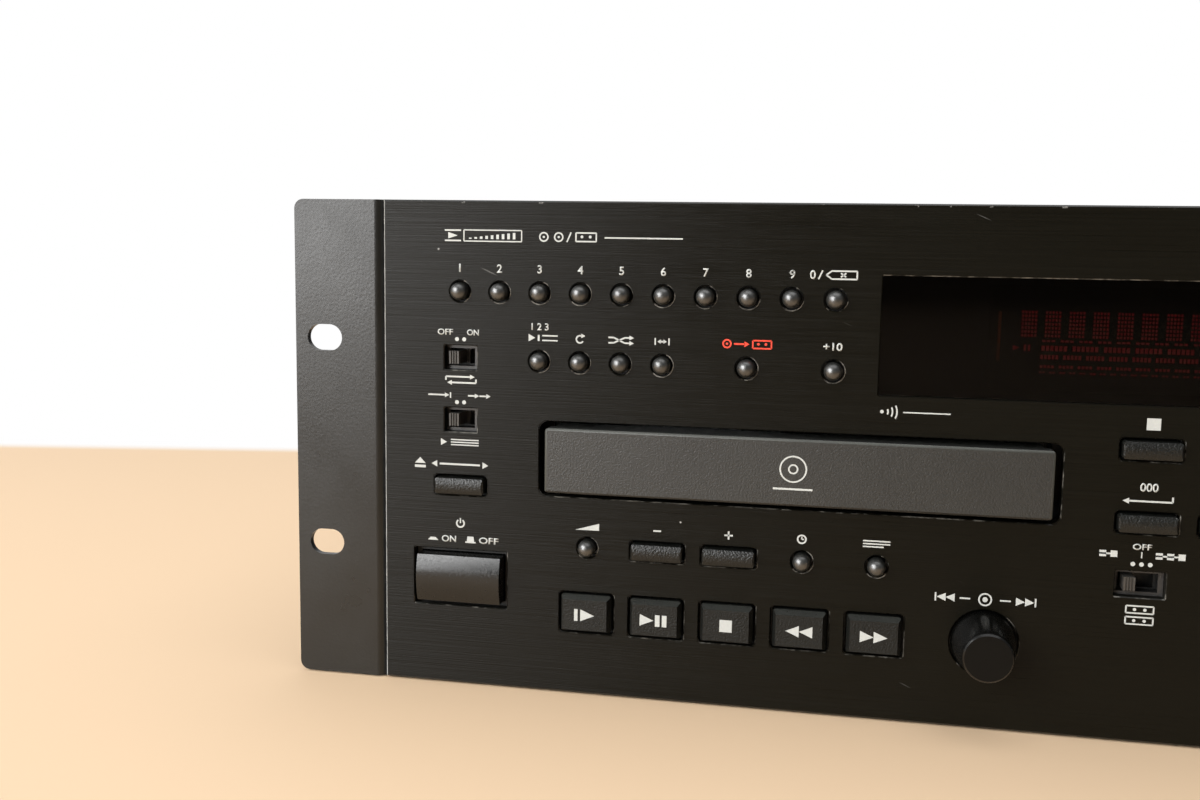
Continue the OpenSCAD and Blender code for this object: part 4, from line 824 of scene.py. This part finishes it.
class DECK_OT_case(bpy.types.Operator):
    """Finish the face plate, ears, cover, chassis, feet and screws"""

    bl_idname = "deck.case"
    bl_label = "Case"

    def execute(self, context):
        c, s = context.scene.deck.colours, context.scene.deck.sizes
        plate = brushed_face(c.face, s.hairline / MM)
        # a cut edge under the dye is smoother than the brushed face and catches the light
        edge = moulded("dyed cut edge", c.face, 0.5, 0.3)
        # rims that face the light are painted pale in patches: a painted highlight
        rim = rim_with_painted_highlight("hole rim with painted highlight", c.face, linear("#6f6d67"), 0.28)
        ring = rim_with_painted_highlight("key ring with painted highlight", c.face, linear("#8e8b84"), 0.32)
        matt = moulded("matt window rim", c.face, 0.5, 0.6, 0.012, 1.15)
        pane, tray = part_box("display_window"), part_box("tray_front")
        rounds = [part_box(name) for name in ROUND_KEYS]

        def within(at, box):
            return box[0].x - MM < at.x < box[1].x + MM and box[0].z - MM < at.z < box[1].z + MM

        def cut(low, high, at, normal):
            """The plate for flat faces and walls, and a finish for the bevels by where they are; rims that
            face the light get a painted highlight.
            """
            if abs(normal.y) > 0.98 or abs(normal.y) < 0.2 or at.x < low.x + MM:
                return 0
            # the window's downward-facing upper rim is painted pale too: a painted highlight
            if within(at, pane):
                return 2 if normal.z < -0.5 else 3
            inner = low.x + MM < at.x < high.x - MM and low.z + MM < at.z < high.z - MM
            if within(at, tray) or not inner:
                return 1
            # the lower and the right rims of a hole face up and to the left, towards the lamps, and are
            # painted pale: a painted highlight
            if normal.x > -0.25 and normal.z < 0.5:
                return 1
            return 4 if any(within(at, key) for key in rounds) else 2

        recut("front_panel", "face_plate", "case", [plate, edge, rim, matt, ring], cut)
        # both grains are drawn coarser than the real ones, so that they show
        ears = powder_coat("black powder coat", c.ear, s.coat_grain / MM, 0.31, 0.03, 1.52)
        cover = powder_coat("textured black paint", c.cover, s.cover_grain / MM, 0.58, 0.09)
        coat(["rack_ears"], ears)
        coat(["top_cover"], cover)
        coat(["chassis"], bare_metal("zinc plated steel", linear("#b4b6b4"), 0.36, 5.0))
        coat(["front_frame"], moulded("black frame moulding", linear("#141413"), 0.4, 0.5))
        coat(["feet"], moulded("black rubber", linear("#171717"), 0.6, 0.78, 0.03, 1.45))
        coat(["screws"], bare_metal("black zinc screws", linear("#3a3a3c"), 0.3, 0.8))
        return {"FINISHED"}


class DECK_OT_marks(bpy.types.Operator):
    """Print the plain marks on the face plate"""

    bl_idname = "deck.marks"
    bl_label = "Printed marks"

    def execute(self, context):
        c, s = context.scene.deck.colours, context.scene.deck.sizes
        for name, groups, material in (
            ("face_marks", WHITE_MARKS, ink("off-white screen print", c.mark)),
            ("red_face_marks", (signal_marks,), ink("red screen print", c.signal)),
        ):
            bm = bmesh.new()
            for group in groups:
                group(bm)
            printed(bm, name, "case", material, 0, s.ink / MM, PROUD)
        return {"FINISHED"}


class DECK_OT_keys(bpy.types.Operator):
    """Finish the keys, the power button and the slide switches and print the key marks"""

    bl_idname = "deck.keys"
    bl_label = "Keys"

    def execute(self, context):
        c, s = context.scene.deck.colours, context.scene.deck.sizes
        # the grain is drawn coarser than the real one, so that it shows
        grain = s.key_grain / MM
        plain = moulded("black key moulding", c.key, grain, 0.33, 0.32, 1.45)
        coarse = moulded("coarse key moulding", c.key, grain, 0.45, 0.28, 1.36)
        # fingers polish the upper edges, which glint; these edges are also painted several times lighter than
        # the key, a painted highlight where they face up to the lamps
        edge = moulded("polished key edge with painted highlight", shade(c.key, 3.5), grain, 0.34, 0.3, 1.95)
        for names, material in ((BAR_KEYS, plain), (BLOCK_KEYS, coarse)):
            for name in names:
                recut(
                    name, name + "_cap", name, [material, edge],
                    lambda low, high, at, normal: 1 if normal.z > 0.5 and normal.y < -0.2 else 0, 12,
                )
        # the domed keys are polished by fingers and catch a small bright spot
        coat(ROUND_KEYS, moulded("polished key moulding", shade(c.key, 1.3), grain, 0.36, 0.006, 2.1))
        coat(["power_button"], moulded("satin power moulding", shade(c.key, 0.5), grain, 0.2, 0.006, 1.53))
        coat(SLIDERS, moulded("slider moulding", linear("#3d3b38"), grain, 0.4))
        # thin frames in the holes of the slide switches
        grey = moulded("grey surround moulding", linear("#323130"), grain, 0.38, 0.012, 1.6)
        play, height, side, rail, depth, thick = 0.1, 6.5, 1.25, 0.85, 2.5, 0.45
        bm = bmesh.new()
        for name, (width, _) in SLIDERS.items():
            surround(bm, *hole(name), width - play, height, side, rail)
        printed(bm, "switch_surrounds", "case", grey, depth, thick)
        white = ink("off-white pad print", c.mark)
        for name in BLOCK_KEYS:
            x, z, v = middle(name)
            bm = bmesh.new()
            key_mark(bm, name, x, z)
            printed(bm, name + "_mark", name, white, v, s.ink / MM, PROUD)
        return {"FINISHED"}


class DECK_OT_drawer(bpy.types.Operator):
    """Finish the disc drawer, its loader and turntable"""

    bl_idname = "deck.drawer"
    bl_label = "Disc drawer"

    def execute(self, context):
        c, s = context.scene.deck.colours, context.scene.deck.sizes
        # the grain is drawn coarser than the real one, so that it shows
        grain = s.drawer_grain / MM
        grey = moulded("matt grey drawer moulding", c.drawer, grain, 0.44, 0.15, 1.63)
        # the upper and side front edges are painted five times lighter than the drawer and show as pale
        # lines: a painted highlight where they catch the light
        edge = moulded("drawer edge with painted highlight", shade(c.drawer, 5.0), grain, 0.4)
        recut(
            "tray_front", "drawer_plate", "drawer", [grey, edge],
            lambda low, high, at, normal: 1 if -0.95 < normal.y < -0.3 and normal.z > -0.3 else 0,
        )
        # the upper lip of the plate runs back into the opening and shows in the gap; it takes the edges' pale
        # finish, so it is painted light where it lies in shade
        low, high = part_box("tray_front")
        ends, depth, thick, overlap, drop, edging = [size * MM for size in (3.0, 8.2, 0.8, 0.1, 0.2, 0.25)]
        back, level = high.y - overlap + depth / 2, high.z - drop - thick / 2
        bm = bmesh.new()
        bmesh.ops.create_cube(bm, size=1.0)
        bmesh.ops.scale(bm, vec=(high.x - low.x - ends, depth, thick), verts=bm.verts)
        bmesh.ops.translate(bm, vec=((low.x + high.x) / 2, back, level), verts=bm.verts)
        bmesh.ops.bevel(
            bm, geom=bm.edges[:], offset=edging, affect="EDGES", segments=2, profile=0.5, material=-1,
        )
        piece(bm, "drawer_lip", "drawer", [edge], 30)
        # a plain disc mark over a bar
        x, z, v = middle("tray_front")
        bm = bmesh.new()
        for r in (3.3, 1.1):
            arc(bm, x + 1.0, z + 1.0, r, 0.4)
        bar(bm, x + 1.0, z - 4.15, 10, 0.5)
        white = ink("off-white pad print", c.mark)
        printed(bm, "drawer_mark", "drawer", white, v, s.ink / MM, PROUD)
        coat(["disc_tray"], moulded("black tray moulding", linear("#1b1b1b"), 0.5, 0.5))
        coat(["disc_loader"], moulded("black loader moulding", linear("#171716"), 0.6, 0.6))
        coat(["disc_turntable"], moulded("dark turntable moulding", linear("#262625"), 0.5, 0.5))
        return {"FINISHED"}


class DECK_OT_display(bpy.types.Operator):
    """Finish the display window and draw the dots and segments behind it"""

    bl_idname = "deck.display"
    bl_label = "Display"

    def execute(self, context):
        c = context.scene.deck.colours
        coat(["display_window"], clear_pane("smoked display acrylic", linear("#5c5553")))
        depth, thick = 7.9, 0.05
        left, low = corner("display_window")
        bm = bmesh.new()
        # characters of five by seven dots
        for cell in range(18):
            for column in range(5):
                for row in range(7):
                    x, z = left + 36.3 + 5.64 * cell + 0.78 * column, low + 17.4 + 0.97 * row
                    block(bm, x, z, x + 0.48, z + 0.62)
        arrow(bm, left + 35.3, low + 14.6, 1.6, 1.3)
        for x in (left + 37.1, left + 38.1):
            block(bm, x, low + 13.9, x + 0.55, low + 15.4)
        # lines of small words under the characters, with gaps between the words
        first, length, gap = left + 40.3, 98, 0.3
        for up, w, h, word in (
            (16.2, 0.8, 0.5, 3), (14.0, 0.75, 1.3, 6), (11.9, 0.6, 1.1, 5), (9.7, 0.6, 0.7, 4),
            (8.4, 0.5, 0.4, 2),
        ):
            for i in range(int(length / (w + gap))):
                x = first + (w + gap) * i
                if i % (word + 1):
                    block(bm, x, low + up, x + w, low + up + h)
        # the dots get a faint light of their own so that they show behind the dark pane: a painted glow
        phosphor = ink("red display phosphor with painted glow", c.dots, 0.46)
        printed(bm, "display_dots", "case", phosphor, depth, thick)
        bm = bmesh.new()
        block(bm, left + 30.7, low + 11.2, left + 31.4, low + 23.5)
        # the orange strip gives off light as well: a painted glow
        strip = ink("orange display strip with painted glow", linear("#9a4a12"), 0.1)
        printed(bm, "display_bar", "case", strip, depth, thick)
        return {"FINISHED"}


class DECK_OT_tape(bpy.types.Operator):
    """Finish the cassette door, the bay behind it and the reel spindles"""

    bl_idname = "deck.tape"
    bl_label = "Cassette bay"

    def execute(self, context):
        satin = moulded("satin black door moulding", linear("#1d1d1e"), 0.35, 0.34, 0.008)
        pane = clear_pane("smoked door acrylic", linear("#8a8682"))
        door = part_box("cassette_door")
        depth = door[1].y - door[0].y
        recut(
            "cassette_door", "door_and_pane", "cassette_door", [satin, pane],
            lambda low, high, at, normal: 1 if high.y - low.y < depth / 3 else 0,
        )
        steel = bare_metal("plated transport steel", linear("#9b9c9c"), 0.35, 3.0)
        dark = moulded("dark bay moulding", linear("#353638"), 0.5, 0.5)
        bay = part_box("tape_transport")
        width = bay[1].x - bay[0].x
        recut(
            "tape_transport", "bay_and_mechanism", "case", [dark, steel],
            lambda low, high, at, normal: 0 if high.x - low.x > width * 0.9 else 1,
        )
        white = moulded("white acetal spindles", linear("#d9d8d2"), 0.5, 0.35)
        coat(["supply_spindle", "takeup_spindle"], white)
        return {"FINISHED"}


class DECK_OT_knobs(bpy.types.Operator):
    """Finish the knobs and their shaft and print the pointer"""

    bl_idname = "deck.knobs"
    bl_label = "Knobs"

    def execute(self, context):
        c, s = context.scene.deck.colours, context.scene.deck.sizes
        satin = moulded("satin knob moulding", c.knob, 0.22, 0.36, 0.006, 1.25)
        # fingers polish the side and the rounded front edge, which glint
        polished = moulded("polished knob moulding", c.knob, 0.22, 0.24, 0.002, 1.42)
        for name in ("track_knob", "level_knob"):
            recut(
                name, name + "_cap", name, [satin, polished],
                lambda low, high, at, normal: 0 if normal.y < -0.98 else 1, 50,
            )
        coat(["encoder_shaft"], bare_metal("turned aluminium shaft", linear("#b5b6b6"), 0.25, 0.4))
        bm = bmesh.new()
        x, z, v = middle("level_knob")
        bar(bm, x, z + 4.1, 0.7, 3.8)
        white = ink("off-white pad print", c.mark)
        printed(bm, "level_pointer", "level_knob", white, v, s.ink / MM, PROUD)
        return {"FINISHED"}


class DECK_OT_inside(bpy.types.Operator):
    """Finish the boards, transformer and sockets"""

    bl_idname = "deck.inside"
    bl_label = "Boards and sockets"

    def execute(self, context):
        resist = moulded("green solder resist", linear("#1f5a36"), 1.2, 0.35, 0.02)
        black = moulded("black component plastic", linear("#1c1c1d"), 0.4, 0.5)
        sleeve = moulded("blue capacitor sleeve", linear("#20304f"), 0.6, 0.35)
        tube = clear_pane("dark display glass", linear("#241f1f"))
        dark = moulded("black solder resist", linear("#111211"), 1.2, 0.4, 0.02)
        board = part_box("circuit_boards")

        def parts(low, high, at, normal):
            """Boards are the widest solids, then the display tube; tall parts at the back are capacitors."""
            size = (high - low) / MM
            if size.x > 150:
                return 0 if size.z < 10 else 4
            if size.x > 60:
                return 3
            return 2 if size.z > 15 and low.y > board[0].y + 50 * MM else 1

        recut(
            "circuit_boards", "boards_and_parts", "case", [resist, black, sleeve, tube, dark], parts,
        )
        copper = moulded("varnished copper winding", linear("#8a4a26"), 0.5, 0.35, 0.05)
        iron = bare_metal("varnished core laminations", linear("#4f4a45"), 0.5, 0.5)
        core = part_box("power_transformer")
        depth = core[1].y - core[0].y
        recut(
            "power_transformer", "core_and_winding", "case", [iron, copper],
            lambda low, high, at, normal: 1 if high.y - low.y > depth * 0.95 else 0,
        )
        nickel = bare_metal("nickel plated contacts", linear("#c9c5ba"), 0.22, 0.6)
        white = moulded("white socket insert", linear("#d8d5cc"), 0.4, 0.45)
        red = moulded("red socket insert", linear("#9c1f1c"), 0.4, 0.45)
        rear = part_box("chassis")[1].y

        def contacts(low, high, at, normal):
            """Pins and barrels are plated, and bodies near the wall are black."""
            if high.x - low.x < 4 * MM:
                return 1
            if at.y < rear + 2.4 * MM:
                return 0
            # the floor of each bore shows the coloured insert, white above red
            if normal.y > 0.9 and at.y < rear + 3.5 * MM:
                return 2 if at.z > (low.z + high.z) / 2 else 3
            return 1

        recut("connectors", "sockets_and_contacts", "case", [black, nickel, white, red], contacts)
        return {"FINISHED"}


# Stage


def pale_floor(colour):
    """Plain painted floor that turns white behind the deck, as a paper sweep does."""
    made, tree, shader, place = finish("plain pale floor", colour, {"Roughness": 0.7})
    if tree is None:
        return made
    # how far back a point lies, in metres along the camera's level direction
    back = add(tree, "VectorMath", {0: place, 1: (-0.2, 0.98, 0.0)}, operation="DOT_PRODUCT")
    far = add(
        tree, "MapRange",
        {0: back.outputs["Value"], 1: 0.27, 2: 0.3, 3: 0.0, 4: 1.0}, interpolation_type="SMOOTHSTEP",
    )
    hue = add(tree, "Mix", {0: far.outputs[0], 6: (*colour, 1.0), 7: (1, 1, 1, 1)}, data_type="RGBA")
    ray = add(tree, "LightPath").outputs
    # from a hand's breadth in front of the deck the floor is painted darker for reflections: painted shade
    front = add(tree, "MapRange", {0: back.outputs["Value"], 1: -0.22, 2: -0.4, 3: 0.0, 4: 1.0})
    dim = add(tree, "Math", {0: front.outputs[0], 1: ray["Is Glossy Ray"]}, operation="MULTIPLY")
    hue = add(tree, "Mix", {0: dim.outputs[0], 6: hue.outputs[2], 7: shade(colour, 0.45)}, data_type="RGBA")
    feed(tree, shader, {"Base Color": hue.outputs[2]})
    seen = add(tree, "Math", {0: ray["Is Camera Ray"], 1: ray["Is Glossy Ray"]}, operation="ADD")
    seen = add(
        tree, "Math", {0: seen.outputs[0], 1: ray["Is Transmission Ray"]}, operation="ADD", use_clamp=True,
    )
    share = add(tree, "Math", {0: seen.outputs[0], 1: far.outputs[0]}, operation="MULTIPLY")
    white = add(tree, "Emission", {"Color": (1, 1, 1, 1), "Strength": 1.0})
    mix = add(tree, "MixShader", {0: share.outputs[0], 1: shader.outputs[0], 2: white.outputs[0]})
    feed(tree, tree.nodes["Material Output"], {"Surface": mix.outputs[0]})
    return made


def white_surroundings():
    """A world that is white to the eye and behind the deck, and a dimmer room in front of it."""
    world = bpy.data.worlds.new("white surroundings")
    world.use_nodes = True
    tree = world.node_tree
    ray = add(tree, "LightPath").outputs
    around = add(tree, "TexCoord").outputs["Generated"]
    # the room is brightest at the back, a little to the left
    toward = add(tree, "VectorMath", {0: around, 1: (-0.35, 0.94, 0.0)}, operation="DOT_PRODUCT")
    room = add(
        tree, "MapRange",
        {0: toward.outputs["Value"], 1: -0.5, 2: 0.4, 3: 0.2, 4: 1.0}, interpolation_type="SMOOTHSTEP",
    )
    share = add(tree, "MapRange", {0: ray["Is Glossy Ray"], 1: 0.0, 2: 1.0, 3: 0.35, 4: 1.0})
    dim = add(tree, "Math", {0: room.outputs[0], 1: share.outputs[0]}, operation="MULTIPLY")
    seen = add(
        tree, "Math",
        {0: ray["Is Camera Ray"], 1: ray["Is Transmission Ray"]}, operation="ADD", use_clamp=True,
    )
    level = add(tree, "Mix", {0: seen.outputs[0], 2: dim.outputs[0], 3: 1.0})
    sky = tree.nodes["Background"]
    sky.inputs["Color"].default_value = (1, 1, 1, 1)
    feed(tree, sky, {"Strength": level.outputs[0]})
    return world


def softbox(name, at, aim, size, power):
    """A soft lamp at a place in metres, turned to what it lights."""
    lamp = bpy.data.lights.new(name, "AREA")
    lamp.shape, lamp.energy = "RECTANGLE", power
    lamp.size, lamp.size_y = size
    obj = bpy.data.objects.new(name, lamp)
    obj.location = at
    obj.rotation_euler = (Vector(aim) - Vector(at)).to_track_quat("-Z", "Y").to_euler()
    return obj


def front_camera():
    """A camera with the photograph's place, direction and field of view."""
    lens = bpy.data.cameras.new("camera")
    lens.sensor_width, lens.lens = 36.0, 37.65
    lens.clip_start, lens.clip_end = 0.01, 50.0
    camera = bpy.data.objects.new("camera", lens)
    right = Vector((0.978903, 0.203793, 0.014746))
    up = Vector((-0.039700, 0.118905, 0.992112))
    back = Vector((0.200432, -0.971766, 0.124487))
    turn = Matrix((right, up, back)).transposed().to_4x4()
    camera.matrix_world = Matrix.Translation(on_front(151.75, 121.41, -320.6)) @ turn
    return camera


class DECK_OT_stage(bpy.types.Operator):
    """Set the floor, the lamps and the camera"""

    bl_idname = "deck.stage"
    bl_label = "Stage"

    def execute(self, context):
        scene = context.scene
        scene.view_settings.view_transform = "Standard"
        bm = bmesh.new()
        bmesh.ops.create_circle(bm, cap_ends=True, segments=96, radius=6.0)
        mesh = bpy.data.meshes.new("floor")
        bm.to_mesh(mesh)
        bm.free()
        mesh.materials.append(pale_floor(scene.deck.colours.floor))
        floor = bpy.data.objects.new("floor", mesh)
        scene.collection.objects.link(floor)
        scene.world = white_surroundings()
        front = (-0.2, -0.14, 0.06)
        for name, at, aim, size, power in (
            ("left_softbox", (-1.278, -1.802, 0.761), front, (1.09, 1.6), 57.0),
            ("side_softbox", (-1.7, -1.08, 1.0), front, (0.5, 0.7), 13.0),
            ("top_softbox", (0.25, -0.1, 1.9), (0.0, 0.0, 0.05), (2.0, 2.0), 18.0),
        ):
            scene.collection.objects.link(softbox(name, at, aim, size, power))
        scene.camera = front_camera()
        scene.collection.objects.link(scene.camera)
        return {"FINISHED"}


# Panel and registration


class DECK_PT_panel(bpy.types.Panel):
    """Steps and settings of the deck"""

    bl_idname = "DECK_PT_panel"
    bl_label = "Disc and Cassette Deck"
    bl_space_type = "VIEW_3D"
    bl_region_type = "UI"
    bl_category = "Deck"

    def draw(self, context):
        for group in (context.scene.deck.colours, context.scene.deck.sizes):
            for name in group.__annotations__:
                self.layout.prop(group, name)
        for step in STEPS:
            self.layout.operator(step.bl_idname)


STEPS = (
    DECK_OT_case, DECK_OT_marks, DECK_OT_keys, DECK_OT_drawer, DECK_OT_display,
    DECK_OT_tape, DECK_OT_knobs, DECK_OT_inside, DECK_OT_stage,
)
CLASSES = (DeckColours, DeckSizes, DeckSettings, *STEPS, DECK_PT_panel)


def register():
    for kind in CLASSES:
        bpy.utils.register_class(kind)
    bpy.types.Scene.deck = PointerProperty(type=DeckSettings)


def unregister():
    del bpy.types.Scene.deck
    for kind in reversed(CLASSES):
        bpy.utils.unregister_class(kind)


def main():
    """Register the add-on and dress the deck."""
    register()
    for step in (
        bpy.ops.deck.case,
        bpy.ops.deck.marks,
        bpy.ops.deck.keys,
        bpy.ops.deck.drawer,
        bpy.ops.deck.display,
        bpy.ops.deck.tape,
        bpy.ops.deck.knobs,
        bpy.ops.deck.inside,
        bpy.ops.deck.stage,
    ):
        step()


if __name__ == "__main__":
    main()
